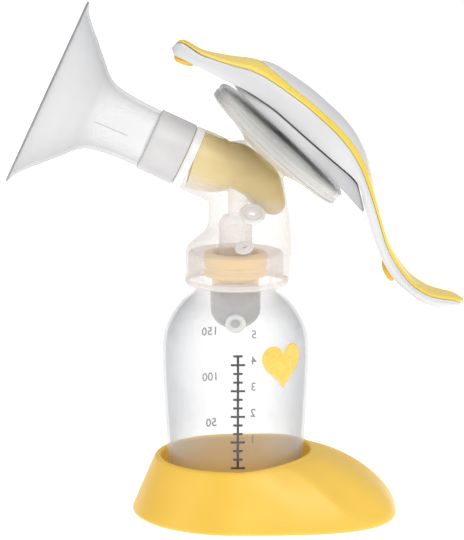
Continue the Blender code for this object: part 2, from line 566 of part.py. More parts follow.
handle_keel = rings_to_mesh("handle_keel", keel_rings, KEEL_WHITE, False)
well = lathe("keel_well", mm((0.0, -2.0), (9.6, -2.0), (9.6, 12.0), (0.0, 12.0)),
             DISH_C, Q_AXIS, P_AXIS, KEEL_WHITE, 36)
apply_boolean(handle_keel, well, "DIFFERENCE")

# two ears that hang the pin from the roof of the shell
bracket_ears = []
for ear_name, y0, y1 in (("pin_bracket_near", -0.0068, -0.0045), ("pin_bracket_far", 0.0045, 0.0068)):
    ear = block(ear_name, (-0.0028, y0, 0.0027), (0.0028, y1, 0.0151), BRACKET_WHITE, "dish")
    bracket_bore = lathe("bracket_bore", mm((0.0, -9.0), (1.7, -9.0), (1.7, 9.0), (0.0, 9.0)),
                         dish_point(0.0, 0.0, PIN_Q), Y_AXIS, P_AXIS, BRACKET_WHITE, 20)
    apply_boolean(ear, bracket_bore, "DIFFERENCE")
    bracket_ears.append(ear)

bpy.context.view_layer.update()
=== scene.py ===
"""Looks of the manual breast pump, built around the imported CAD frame.

Units are metres, +Z is up, +X runs from the shield to the long end of the handle and the
camera looks along +Y.  mm(...) turns millimetres into metres.  Every moulded piece is
rebuilt here with rounded edges and fine surfaces, and stands for the CAD node of its name.
"""
import math

import bmesh
import bpy
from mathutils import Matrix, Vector


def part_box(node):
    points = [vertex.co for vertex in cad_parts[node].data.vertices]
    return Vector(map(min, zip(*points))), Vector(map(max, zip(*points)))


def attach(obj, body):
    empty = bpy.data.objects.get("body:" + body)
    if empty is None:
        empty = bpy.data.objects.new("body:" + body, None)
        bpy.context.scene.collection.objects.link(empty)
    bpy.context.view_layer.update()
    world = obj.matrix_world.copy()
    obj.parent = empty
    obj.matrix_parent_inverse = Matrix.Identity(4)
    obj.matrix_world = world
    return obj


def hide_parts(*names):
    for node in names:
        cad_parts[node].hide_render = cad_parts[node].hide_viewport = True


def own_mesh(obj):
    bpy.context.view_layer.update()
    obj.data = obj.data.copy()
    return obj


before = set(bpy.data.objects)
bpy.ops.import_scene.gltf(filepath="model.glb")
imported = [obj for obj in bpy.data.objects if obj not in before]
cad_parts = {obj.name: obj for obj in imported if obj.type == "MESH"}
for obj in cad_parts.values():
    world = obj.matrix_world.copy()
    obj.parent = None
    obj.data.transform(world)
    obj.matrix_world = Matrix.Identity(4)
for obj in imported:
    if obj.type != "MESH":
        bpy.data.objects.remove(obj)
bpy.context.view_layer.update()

MM = 0.001
UP = Vector((0.0, 0.0, 1.0))
RIGHT = Vector((1.0, 0.0, 0.0))
Y_AXIS = Vector((0.0, 1.0, 0.0))
ORIGIN = Vector((0.0, 0.0, 0.0))

# ---------------------------------------------------------------- driving dimensions
BOTTLE_BASE_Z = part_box("bottle")[0].z
STAND_LEFT_R = -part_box("bottle_stand")[0].x
STAND_TAIL_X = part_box("bottle_stand")[1].x
STAND_RIM_R = 0.0338
STAND_RIM_Z = 0.0237
STAND_TAIL_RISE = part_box("bottle_stand")[1].z - STAND_RIM_Z
CUP_R = 0.0308
CUP_FLOOR_Z = BOTTLE_BASE_Z - 0.0003
CUP_UNDERSIDE_Z = 0.0027

SHIELD_RIM = Vector((-0.07675, 0.0, 0.17485))
SHIELD_PITCH = math.radians(25.0)
S_AXIS = Vector((math.cos(SHIELD_PITCH), 0.0, -math.sin(SHIELD_PITCH)))
S_SIDE = Vector((math.sin(SHIELD_PITCH), 0.0, math.cos(SHIELD_PITCH)))

DISH_C = Vector((0.01915, 0.0, 0.15554))
GRIP_SHIFT = 0.00305
DISH_TILT = math.radians(42.45)
P_AXIS = Vector((math.cos(DISH_TILT), 0.0, -math.sin(DISH_TILT)))
Q_AXIS = Vector((math.sin(DISH_TILT), 0.0, math.cos(DISH_TILT)))
PIN_Q = 0.0050

# origin, axis and side of what is turned about each line
UPRIGHT = (ORIGIN, UP, RIGHT)
ON_SHIELD = (SHIELD_RIM, S_AXIS, S_SIDE)
ON_DISH = (DISH_C, Q_AXIS, P_AXIS)
ON_PIN = (DISH_C + Q_AXIS * PIN_Q, Y_AXIS, P_AXIS)

GAP = 0.0003
ROUND = 96
FINE_ROUND = 144


def mm(*pairs):
    """Tuples of millimetres as tuples of metres."""
    return [tuple(v * MM for v in pair) for pair in pairs]


def smooth_at(table, x):
    """Smooth monotone interpolation in a table of (x, value)."""
    if x <= table[0][0]:
        return table[0][1]
    if x >= table[-1][0]:
        return table[-1][1]
    i = 0
    while x > table[i + 1][0]:
        i += 1

    def slope(k):
        return (table[k + 1][1] - table[k][1]) / (table[k + 1][0] - table[k][0])

    def tangent(k):
        if k == 0:
            return slope(0)
        if k == len(table) - 1:
            return slope(k - 1)
        a, b = slope(k - 1), slope(k)
        if a * b <= 0.0:
            return 0.0
        return 2.0 * a * b / (a + b)

    x0, y0 = table[i]
    x1, y1 = table[i + 1]
    span = x1 - x0
    t = (x - x0) / span
    m0 = tangent(i) * span
    m1 = tangent(i + 1) * span
    h00 = (1.0 + 2.0 * t) * (1.0 - t) ** 2
    h10 = t * (1.0 - t) ** 2
    h01 = t * t * (3.0 - 2.0 * t)
    h11 = t * t * (t - 1.0)
    return h00 * y0 + h10 * m0 + h01 * y1 + h11 * m1


def spread(low, high, count):
    """count evenly spaced values from low to high."""
    return [low + (high - low) * k / (count - 1) for k in range(count)]


def turn_angles(count):
    """count even angles round a full turn, from 0."""
    return [2.0 * math.pi * k / count for k in range(count)]


# ---------------------------------------------------------------- mesh helpers
def linked(name, data):
    """A new object in the scene."""
    obj = bpy.data.objects.new(name, data)
    bpy.context.scene.collection.objects.link(obj)
    return obj


def baked_mesh(obj):
    """A copy of an object's mesh with its modifiers applied."""
    bpy.context.view_layer.update()
    graph = bpy.context.evaluated_depsgraph_get()
    return bpy.data.meshes.new_from_object(obj.evaluated_get(graph), depsgraph=graph)


def finish_mesh(name, verts, faces, mat, crease=40.0):
    """A closed, smooth-shaded mesh object with its normals facing out."""
    mesh = bpy.data.meshes.new(name)
    mesh.from_pydata([tuple(v) for v in verts], [], faces)
    work = bmesh.new()
    work.from_mesh(mesh)
    bmesh.ops.recalc_face_normals(work, faces=work.faces)
    work.to_mesh(mesh)
    work.free()
    mesh.materials.append(mat)
    mesh.shade_smooth()
    mesh.set_sharp_from_angle(angle=math.radians(crease))
    return linked(name, mesh)


# these cast no shadow, so that light reaches what they hold
SEE_THROUGH = ("bottle_clear_pp", "connector_milky_pp", "dish_milky_pp", "sleeve_frosted_pp",
               "cap_grey_pp_painted_light", "collar_lip_painted_highlight_pp")


def place(obj, body, *nodes):
    """Ride on a CAD body, and stand for CAD nodes of the same finish."""
    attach(obj, body)
    if obj.data.materials and obj.data.materials[0].name in SEE_THROUGH:
        obj.visible_shadow = False
    if nodes:
        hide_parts(*nodes)
    return obj


def rounded(points, closed=False):
    """Round the corners of an outline given as (a, b, radius); radius 0 keeps a corner."""
    out = []
    count = len(points)
    for i, (a, b, radius) in enumerate(points):
        here = Vector((a, b))
        if radius <= 0.0 or (not closed and i in (0, count - 1)):
            out.append((a, b))
            continue
        before = Vector(points[i - 1][:2])
        after = Vector(points[(i + 1) % count][:2])
        back = before - here
        ahead = after - here
        reach = min(radius, 0.45 * back.length, 0.45 * ahead.length)
        start = here + back.normalized() * reach
        end = here + ahead.normalized() * reach
        for k in range(5):
            t = k / 4.0
            spot = start * (1 - t) ** 2 + here * (2 * t * (1 - t)) + end * t * t
            out.append((spot.x, spot.y))
    return out


def rounded_mm(*points, closed=False):
    """Round the corners of an outline given in millimetres."""
    return rounded(mm(*points), closed)


def lathe_mesh(profile, origin, axis, side, segments=ROUND):
    """Vertices and faces of (radius, height) pairs turned about an axis."""
    across = axis.cross(side)
    verts = []
    rows = []
    for radius, height in profile:
        base = origin + axis * height
        if radius < 1e-7:
            rows.append([len(verts)])
            verts.append(base)
            continue
        row = []
        for angle in turn_angles(segments):
            row.append(len(verts))
            verts.append(base + side * (radius * math.cos(angle)) + across * (radius * math.sin(angle)))
        rows.append(row)
    pairs = list(zip(rows, rows[1:]))
    if len(rows[0]) > 1:
        pairs.append((rows[-1], rows[0]))
    faces = []
    for low, high in pairs:
        for k in range(segments):
            n = (k + 1) % segments
            if len(low) == 1 and len(high) == 1:
                continue
            if len(low) == 1:
                faces.append((low[0], high[k], high[n]))
            elif len(high) == 1:
                faces.append((low[k], high[0], low[n]))
            else:
                faces.append((low[k], low[n], high[n], high[k]))
    return verts, faces


def lathe(name, profile, origin, axis, side, mat, segments=ROUND, crease=40.0):
    """A turned piece: (radius, height) pairs turned about an axis."""
    verts, faces = lathe_mesh(profile, origin, axis, side, segments)
    return finish_mesh(name, verts, faces, mat, crease)


def loft(name, rings, mat, crease=40.0):
    """Skin a row of equal rings, with a fan cap at each end."""
    count = len(rings[0])
    verts = [p for ring in rings for p in ring]
    faces = []
    for a in range(0, len(verts) - count, count):
        for j in range(count):
            k = (j + 1) % count
            faces.append((a + j, a + k, a + count + k, a + count + j))
    for first, ring in ((0, rings[0]), (len(verts) - count, rings[-1])):
        middle = Vector((0.0, 0.0, 0.0))
        for p in ring:
            middle += Vector(p) / count
        hub = len(verts)
        verts.append(middle)
        for j in range(count):
            faces.append((first + j, first + (j + 1) % count, hub))
    return finish_mesh(name, verts, faces, mat, crease)


def circle_path(path, radii):
    """Rings of circles along a path in the XZ plane."""
    rings = []
    for i, point in enumerate(path):
        before = path[max(i - 1, 0)]
        after = path[min(i + 1, len(path) - 1)]
        run = (Vector(after) - Vector(before)).normalized()
        up = Y_AXIS.cross(run)
        ring = []
        for angle in turn_angles(ROUND):
            spot = Vector(point) + up * (radii[i] * math.cos(angle))
            ring.append(spot + Y_AXIS * (radii[i] * math.sin(angle)))
        rings.append(ring)
    return rings


def torus(name, centre, normal, big, small, mat, squash=1.0):
    """A ring of round section, flattened along its normal by squash."""
    normal = normal.normalized()
    side = normal.cross(Y_AXIS)
    if side.length < 0.1:
        side = RIGHT.copy()
    side = (side - normal * side.dot(normal)).normalized()
    profile = []
    for angle in turn_angles(20):
        profile.append((big + small * math.cos(angle), squash * small * math.sin(angle)))
    return lathe(name, profile, centre, normal, side, mat, 64)


def dish_point(p, y, q):
    """A point p along the dish, y across it and q out of it."""
    return DISH_C + P_AXIS * p + Y_AXIS * y + Q_AXIS * q


def grip_point(p, y, q):
    """A point of the handle tables, which start a little in front of the dish centre."""
    return dish_point(p - GRIP_SHIFT, y, q)


def mirrored(right):
    """The far side of a half outline of (y, q) pairs, in reverse order."""
    return [(-y, q) for y, q in reversed(right)]


def boolean(target, tool, operation):
    """Cut or join with a tool, which is then thrown away."""
    mod = target.modifiers.new(operation.lower(), "BOOLEAN")
    mod.operation = operation
    mod.solver = "EXACT"
    mod.object = tool
    apply_all(target)
    bpy.data.objects.remove(tool, do_unlink=True)


def apply_all(obj):
    """Bake an object's modifiers into its mesh."""
    baked = baked_mesh(obj)
    obj.modifiers.clear()
    old = obj.data
    obj.data = baked
    bpy.data.meshes.remove(old)


def fuse(obj, voxel, rounds):
    """Remesh to an even skin and relax it, so that joins get moulded fillets."""
    mod = obj.modifiers.new("remesh", "REMESH")
    mod.mode = "VOXEL"
    mod.voxel_size = voxel
    soft = obj.modifiers.new("soft", "SMOOTH")
    soft.iterations = rounds
    soft.factor = 0.5
    apply_all(obj)
    obj.data.shade_smooth()


# ---------------------------------------------------------------- materials
class Surface:
    """Builds one Principled material with its noise, bump and ramps."""

    def __init__(self, name):
        self.mat = bpy.data.materials.new(name)
        self.mat.use_nodes = True
        self.tree = self.mat.node_tree
        self.shader = self.tree.nodes["Principled BSDF"]
        self.place = self.tree.nodes.new("ShaderNodeTexCoord").outputs["Object"]

    def set(self, **values):
        for key, value in values.items():
            self.shader.inputs[key.replace("_", " ")].default_value = value

    def noise(self, scale, detail):
        node = self.tree.nodes.new("ShaderNodeTexNoise")
        node.inputs["Scale"].default_value = scale
        node.inputs["Detail"].default_value = detail
        self.tree.links.new(self.place, node.inputs["Vector"])
        return node.outputs["Fac"]

    def ramp(self, source, stops):
        node = self.tree.nodes.new("ShaderNodeValToRGB")
        band = node.color_ramp
        band.interpolation = "EASE"
        while len(band.elements) < len(stops):
            band.elements.new(0.5)
        for element, (spot, colour) in zip(band.elements, stops):
            element.position = spot
            element.color = (*colour, 1.0)
        self.tree.links.new(source, node.inputs["Fac"])
        return node.outputs["Color"]

    def span(self, source, low, high, from_low=0.3, from_high=0.7):
        node = self.tree.nodes.new("ShaderNodeMapRange")
        node.inputs["From Min"].default_value = from_low
        node.inputs["From Max"].default_value = from_high
        node.inputs["To Min"].default_value = low
        node.inputs["To Max"].default_value = high
        self.tree.links.new(source, node.inputs["Value"])
        return node.outputs["Result"]

    def axis(self, name):
        node = self.tree.nodes.new("ShaderNodeSeparateXYZ")
        self.tree.links.new(self.place, node.inputs["Vector"])
        return node.outputs[name]

    def math(self, kind, a, b):
        node = self.tree.nodes.new("ShaderNodeMath")
        node.operation = kind
        for socket, value in zip(node.inputs, (a, b)):
            if isinstance(value, (int, float)):
                socket.default_value = value
            else:
                self.tree.links.new(value, socket)
        return node.outputs["Value"]

    def mix(self, factor, a, b):
        node = self.tree.nodes.new("ShaderNodeMix")
        node.data_type = "RGBA"
        for socket, value in ((node.inputs[0], factor), (node.inputs[6], a), (node.inputs[7], b)):
            if isinstance(value, tuple):
                socket.default_value = (*value, 1.0)
            else:
                self.tree.links.new(value, socket)
        return node.outputs[2]

    def facing(self, blend):
        node = self.tree.nodes.new("ShaderNodeLayerWeight")
        node.inputs["Blend"].default_value = blend
        return node.outputs["Facing"]

    def into(self, socket, source):
        self.tree.links.new(source, self.shader.inputs[socket])

    def mottle(self, scale, detail, dark, light, edge=0.3):
        """Slow drift between two tones."""
        return self.ramp(self.noise(scale, detail), [(edge, dark), (1.0 - edge, light)])

    def wander(self, name, low, high, scale, amount):
        """0 to 1 along an axis from low to high, pushed about by noise."""
        along = self.span(self.axis(name), 0.0, 1.0, low, high)
        wobble = self.math("MULTIPLY", self.noise(scale, 3.0), amount)
        return self.math("ADD", along, self.math("SUBTRACT", wobble, 0.5 * amount))

    def rough(self, scale, detail, low, high):
        self.into("Roughness", self.span(self.noise(scale, detail), low, high))

    def bump(self, scale, detail, strength, distance):
        node = self.tree.nodes.new("ShaderNodeBump")
        node.inputs["Strength"].default_value = strength
        node.inputs["Distance"].default_value = distance
        self.tree.links.new(self.noise(scale, detail), node.inputs["Height"])
        self.into("Normal", node.outputs["Normal"])


def moulded(name, dark, light, rough, grain=900.0, depth=0.00004, coat=0.0):
    """Opaque moulded plastic: slow colour drift, fine spark-eroded grain, uneven gloss."""
    s = Surface(name)
    s.set(IOR=1.5, Coat_Weight=coat, Coat_Roughness=0.18)
    s.into("Base Color", s.mottle(22.0, 2.0, dark, light, 0.32))
    s.rough(70.0, 4.0, rough - 0.05, rough + 0.07)
    s.bump(grain, 3.0, 0.35, depth)
    return s.mat


def clear_plastic(name, body, rim, core, edge, rough, blend=0.40, cloud=60.0, by_height=None, painted_core_tint=None):
    """See-through polypropylene: thin when faced, and painted grey where the wall is seen edge on, a painted
    shade for the darker refraction at its edges.

    by_height lists (z, share) stops that thin the cover over part of a tall moulding.
    The last argument is painted light, the tone that a coloured core seen through the wall lends to it,
    painted onto the wall above a sloping level: its colour, the slope of the level, where it starts and ends,
    and its cover.
    """
    s = Surface(name)
    s.set(IOR=1.49, Specular_IOR_Level=0.5)
    centre = s.mottle(cloud, 3.0, tuple(0.93 * c for c in body), body)
    facing = s.facing(blend)
    # painted shade: the rim tone is mixed into the body tone where the wall is seen edge on
    painted_tone = s.mix(s.span(facing, 0.0, 1.0, 0.15, 0.9), centre, rim)
    cover = s.span(facing, core, edge, 0.05, 0.95)
    # painted light: the core's colour seen through the wall is painted onto the wall above the level
    if painted_core_tint:
        colour, slope, low, high, more = painted_core_tint
        level = s.math("ADD", s.axis("Z"), s.math("MULTIPLY", s.axis("X"), slope))
        lit = s.span(level, 0.0, 1.0, low, high)
        painted_tone = s.mix(lit, painted_tone, colour)
        cover = s.math("MAXIMUM", cover, s.math("MULTIPLY", lit, more))
    s.into("Base Color", painted_tone)
    haze = s.span(s.noise(cloud * 0.6, 3.0), 0.85, 1.18)
    cover = s.math("MULTIPLY", cover, haze)
    if by_height:
        low, high = by_height[0][0], by_height[-1][0]
        tall = s.span(s.axis("Z"), 0.0, 1.0, low, high)
        stops = [((z - low) / (high - low), (share, share, share)) for z, share in by_height]
        cover = s.math("MULTIPLY", cover, s.ramp(tall, stops))
    s.into("Alpha", cover)
    s.rough(55.0, 4.0, rough - 0.04, rough + 0.06)
    s.bump(420.0, 2.0, 0.15, 0.00003)
    return s.mat


def rocker_plastic():
    """White plastic with painted shade that greys it toward its rear end, under the shell."""
    s = Surface("rocker_white_abs_painted_shade")
    s.set(IOR=1.5)
    # painted shade: this ramp darkens the rocker toward its rear end, where the shell shades it
    s.into("Base Color", s.ramp(s.wander("X", 0.026, 0.060, 50.0, 0.12), [
        (0.0, (0.72, 0.72, 0.73)), (0.35, (0.56, 0.56, 0.57)), (0.75, (0.46, 0.46, 0.48)),
        (1.0, (0.50, 0.50, 0.52))]))
    s.rough(70.0, 4.0, 0.30, 0.42)
    s.bump(900.0, 3.0, 0.35, 0.00004)
    return s.mat


def cap_plastic():
    """Grey translucent cover with painted light and shade: a painted shadow darkens its upper end under the
    handle, a painted light band follows, and painted light makes it paler toward the lower rim.
    """
    s = Surface("cap_grey_pp_painted_light")
    s.set(IOR=1.49, Specular_IOR_Level=0.6, Coat_Weight=0.15, Coat_Roughness=0.2)
    # painted light and shade: a painted shadow at the upper end, a painted light band, then painted light
    # toward the lower rim
    s.into("Base Color", s.ramp(s.wander("X", -0.008, 0.044, 40.0, 0.12), [
        (0.0, (0.46, 0.46, 0.45)), (0.12, (0.66, 0.66, 0.64)), (0.45, (0.60, 0.60, 0.58)),
        (0.75, (0.70, 0.70, 0.67)), (1.0, (0.80, 0.80, 0.77))]))
    s.into("Alpha", s.span(s.facing(0.4), 0.45, 0.72, 0.05, 0.95))
    s.rough(55.0, 4.0, 0.22, 0.34)
    s.bump(420.0, 2.0, 0.15, 0.00003)
    return s.mat


def amber_duct():
    """Amber inner duct: cream at the shield end, deepening toward its blind end."""
    s = Surface("amber_duct_polymer")
    s.set(IOR=1.5, Specular_IOR_Level=0.4, Subsurface_Weight=0.15, Subsurface_Scale=0.004)
    s.into("Base Color", s.ramp(s.wander("X", -0.020, 0.018, 60.0, 0.16), [
        (0.0, (0.88, 0.78, 0.50)), (0.35, (0.80, 0.66, 0.32)), (0.68, (0.52, 0.38, 0.11)),
        (1.0, (0.76, 0.58, 0.22))]))
    s.rough(70.0, 3.0, 0.30, 0.42)
    s.bump(300.0, 2.0, 0.2, 0.00004)
    return s.mat


def soft_silicone(name, dark, light, alpha):
    """Silicone rubber: hazy, faintly sticky-looking, with fine mould texture."""
    s = Surface(name)
    s.set(IOR=1.41, Subsurface_Weight=0.2, Subsurface_Scale=0.002, Sheen_Weight=0.08)
    s.into("Base Color", s.mottle(90.0, 3.0, dark, light))
    s.into("Alpha", s.span(s.noise(50.0, 2.0), alpha - 0.05, min(1.0, alpha + 0.05)))
    s.rough(120.0, 3.0, 0.44, 0.58)
    s.bump(600.0, 2.0, 0.25, 0.00005)
    return s.mat


def ink(name, dark, light, alpha):
    """Screen-printed ink with slightly uneven cover."""
    s = Surface(name)
    s.set(IOR=1.5)
    s.into("Base Color", s.mottle(300.0, 3.0, dark, light))
    s.into("Alpha", s.span(s.noise(900.0, 2.0), alpha - 0.06, min(1.0, alpha + 0.06)))
    s.rough(400.0, 2.0, 0.35, 0.5)
    return s.mat


STAND_YELLOW = moulded("stand_yellow_abs", (0.88, 0.54, 0.060), (0.93, 0.60, 0.085), 0.36, 700.0)
HANDLE_YELLOW = moulded("handle_yellow_abs", (0.86, 0.62, 0.06), (0.91, 0.68, 0.085), 0.28, 900.0, coat=0.2)
VALVE_YELLOW = moulded("valve_yellow_pp", (0.96, 0.58, 0.11), (0.98, 0.66, 0.17), 0.40, 600.0)
WHITE = moulded("handle_white_abs", (0.67, 0.67, 0.68), (0.73, 0.73, 0.74), 0.30, 900.0, coat=0.2)
CROWN_WHITE = moulded("crown_white_abs", (0.62, 0.62, 0.635), (0.68, 0.68, 0.69), 0.24, 1000.0, coat=0.25)
KEEL_WHITE_PAINTED_SHADE = rocker_plastic()
POM_WHITE = moulded("stem_white_pom", (0.72, 0.72, 0.71), (0.80, 0.80, 0.79), 0.34, 800.0)
PIN_GREY = moulded("pin_grey_pom", (0.30, 0.30, 0.31), (0.38, 0.38, 0.39), 0.34, 800.0)
PAD_YELLOW = moulded("pad_yellow_tpe", (0.84, 0.50, 0.05), (0.90, 0.58, 0.07), 0.60, 1400.0, depth=0.00008)
# body and rim tones, the rim tone being painted edge shade, then cover faced and edge on, then roughness
BOTTLE_CLEAR = clear_plastic(
    "bottle_clear_pp", (0.58, 0.60, 0.63), (0.36, 0.38, 0.41), 0.135, 0.58, 0.16, blend=0.42, cloud=30.0,
    by_height=((0.020, 0.55), (0.037, 1.0), (0.088, 1.0), (0.095, 0.20)))
# painted light: the amber duct's colour, seen through the neck, is painted onto its wall
CONNECTOR_CLEAR = clear_plastic(
    "connector_milky_pp", (0.78, 0.72, 0.68), (0.64, 0.58, 0.55), 0.24, 0.55, 0.30,
    painted_core_tint=((0.76, 0.64, 0.36), 0.33, 0.1335, 0.1375, 0.30))
DISH_MILKY = clear_plastic("dish_milky_pp", (0.78, 0.75, 0.72), (0.70, 0.67, 0.64), 0.55, 0.80, 0.34)
SHIELD_FROSTED = clear_plastic(
    "shield_frosted_pp", (0.78, 0.78, 0.79), (0.44, 0.45, 0.47), 0.24, 0.58, 0.42, cloud=40.0)
SLEEVE_FROSTED = clear_plastic(
    "sleeve_frosted_pp", (0.72, 0.72, 0.74), (0.50, 0.50, 0.52), 0.62, 0.82, 0.34, blend=0.42)
# painted shade: the lip's dark grey stands for the dark look of the clear rim seen edge on
LIP_EDGE_SHADE = clear_plastic("shield_lip_painted_shade_pp", (0.34, 0.35, 0.37), (0.24, 0.25, 0.27), 0.75, 0.90, 0.30)
SEAM_GREY = clear_plastic("shield_seam_pp", (0.62, 0.62, 0.64), (0.55, 0.55, 0.57), 0.55, 0.70, 0.40)
RING_WHITE = clear_plastic("ring_white_pp", (0.95, 0.95, 0.95), (0.90, 0.90, 0.90), 0.80, 0.98, 0.30)
# painted highlight: near-white for the bright lower edge of the collar
COLLAR_HIGHLIGHT_WHITE = clear_plastic("collar_lip_painted_highlight_pp", (0.93, 0.92, 0.91), (0.90, 0.88, 0.87), 0.30, 0.85, 0.25, 0.45)
CAP_GREY_PAINTED_LIGHT = cap_plastic()
MEMBRANE_GREY = soft_silicone("membrane_silicone", (0.56, 0.56, 0.55), (0.66, 0.66, 0.65), 0.80)
KNOB_WHITE = soft_silicone("membrane_knob_silicone", (0.90, 0.90, 0.89), (0.94, 0.94, 0.93), 0.95)
DIAPHRAGM_GREY = soft_silicone("diaphragm_silicone", (0.52, 0.52, 0.50), (0.64, 0.64, 0.62), 0.86)
O_RING = soft_silicone("o_ring_silicone", (0.55, 0.55, 0.53), (0.66, 0.66, 0.64), 0.9)
INK_GREY = ink("print_grey_ink", (0.26, 0.26, 0.28), (0.34, 0.34, 0.36), 0.90)
INK_DARK = ink("print_dark_ink", (0.055, 0.06, 0.065), (0.085, 0.09, 0.10), 0.95)
INK_YELLOW = ink("print_yellow_ink", (0.95, 0.62, 0.10), (1.0, 0.68, 0.14), 0.94)
AMBER = amber_duct()


# ---------------------------------------------------------------- bottle stand
def stand_outline(angle):
    """Distance of the base edge from the bottle axis, an egg with a blunt tail."""
    c = abs(math.cos(angle))
    s = abs(math.sin(angle))
    if math.cos(angle) < 0.0:
        return STAND_LEFT_R
    return ((c / STAND_TAIL_X) ** 3 + (s / STAND_LEFT_R) ** 3) ** (-1.0 / 3.0)


CREASE_TOP = math.radians(54.0)
CREASE_FOOT = math.radians(35.0)


def crease_lift(angle, share, radius):
    """The soft ridge that runs from the rim down to the foot where the tail begins."""
    bend = abs(math.atan2(math.sin(angle), math.cos(angle)))
    line = CREASE_TOP + (CREASE_FOOT - CREASE_TOP) * share ** 0.8
    gap = (bend - line) * radius
    fade = math.sin(math.pi * min(1.0, share * 1.1 + 0.04)) ** 0.6 if share < 0.88 else 0.0
    ridge = 0.0010 * math.exp(-(gap / 0.0030) ** 2)
    hollow = -0.0018 * math.exp(-((gap + 0.010) / 0.007) ** 2)
    return fade * (ridge + hollow)


def stand_column(angle):
    """Outline from the cup floor over the rim to the underside, at one angle."""
    tail = max(0.0, math.cos(angle))
    tail = tail * tail * (3.0 - 2.0 * tail)
    rim = STAND_RIM_Z + STAND_TAIL_RISE * tail
    foot = stand_outline(angle)
    power = 1.02 + 0.43 * tail
    rows = [(r, CUP_FLOOR_Z) for r in (0.006, 0.012, 0.018, 0.024, 0.0275)]
    rows += [(0.0288, CUP_FLOOR_Z + 0.0003), (0.0298, CUP_FLOOR_Z + 0.0011), (CUP_R - 0.0003, 0.0080)]
    rows += [(CUP_R, 0.0120), (CUP_R, 0.0170), (CUP_R, rim - 0.0012), (CUP_R + 0.0002, rim - 0.0005)]
    rows += [(CUP_R + 0.0007, rim - 0.0001), (CUP_R + 0.0015, rim), (STAND_RIM_R - 0.0012, rim - 0.0001)]
    steps = 26
    for k in range(steps + 1):
        share = k / steps
        turn = 0.5 * math.pi * share
        reach = math.sin(turn) ** (2.0 / power) if k else 0.0
        drop = math.cos(turn) ** (2.0 / power) if k < steps else 0.0
        radius = STAND_RIM_R - 0.0003 + (foot - STAND_RIM_R + 0.0003) * reach
        radius += crease_lift(angle, share, radius)
        rows.append((radius, 0.0011 + (rim - 0.0019) * drop))
    rows += [(foot - 0.0002, 0.0004), (foot - 0.0008, 0.0), (foot - 0.0036, 0.0), (foot - 0.0041, 0.0006)]
    inner_top = 0.0355
    for share in spread(0.92, 0.10, 9):
        turn = 0.5 * math.pi * share
        reach = math.sin(turn) ** (2.0 / power)
        drop = math.cos(turn) ** (2.0 / power)
        rows.append((inner_top + (foot - 0.0045 - inner_top) * reach, 0.0006 + (rim - 0.0060) * drop))
    rows += [(0.0337, 0.0012 + (rim - 0.0060) * 0.72), (0.0333, 0.0100), (0.0333, 0.0042)]
    rows += [(0.0320, 0.0030)] + [(r, CUP_UNDERSIDE_Z) for r in (0.0290, 0.0200, 0.0100)]
    return rows


# rows of the outline between the cup and the foot, which the slot may cut
LAST_CUP_ROW = 14
FIRST_FOOT_ROW = 42
SLOT_ANGLE = math.radians(171.0)
SLOT_HALF_ANGLE = 0.050
SLOT_DEPTH = 0.0013
SLOT_FOOT_Z = 0.004


def notch(angle, z):
    """Depth of the narrow slot down the outside of the stand's short end."""
    off = math.atan2(math.sin(angle - SLOT_ANGLE), math.cos(angle - SLOT_ANGLE))
    if abs(off) >= SLOT_HALF_ANGLE or z <= SLOT_FOOT_Z:
        return 0.0
    return SLOT_DEPTH * max(0.0, 1.0 - (off / SLOT_HALF_ANGLE) ** 6)


def make_stand():
    verts = [Vector((0.0, 0.0, CUP_FLOOR_Z)), Vector((0.0, 0.0, CUP_UNDERSIDE_Z))]
    columns = []
    for a in turn_angles(240):
        column = []
        for i, (r, z) in enumerate(stand_column(a)):
            if LAST_CUP_ROW < i < FIRST_FOOT_ROW:
                r -= notch(a, z)
            column.append(len(verts))
            verts.append(Vector((r * math.cos(a), r * math.sin(a), z)))
        columns.append(column)
    faces = []
    for i, column in enumerate(columns):
        other = columns[(i + 1) % len(columns)]
        faces.append((0, column[0], other[0]))
        faces.append((1, other[-1], column[-1]))
        for j in range(len(column) - 1):
            faces.append((column[j], column[j + 1], other[j + 1], other[j]))
    place(finish_mesh("bottle_stand_shell", verts, faces, STAND_YELLOW, 50.0), "stand", "bottle_stand")


# ---------------------------------------------------------------- bottle
THREAD_TURNS = 1.55
THREAD_PITCH = 0.0045
THREAD_TOP_Z = 0.1050
THREAD_ROOT_R = 0.01705
THREAD_DEPTH = 0.00125


def bottle_radius(z):
    """Outer radius of the bottle wall at a height."""
    return smooth_at(mm((7.3, 28.0), (26.0, 28.35), (40.0, 29.0), (54.0, 29.8), (66.0, 30.2), (73.6, 29.7),
                        (78.4, 28.3), (83.4, 25.7), (88.0, 22.1), (91.3, 18.8), (94.0, 17.2)), z)


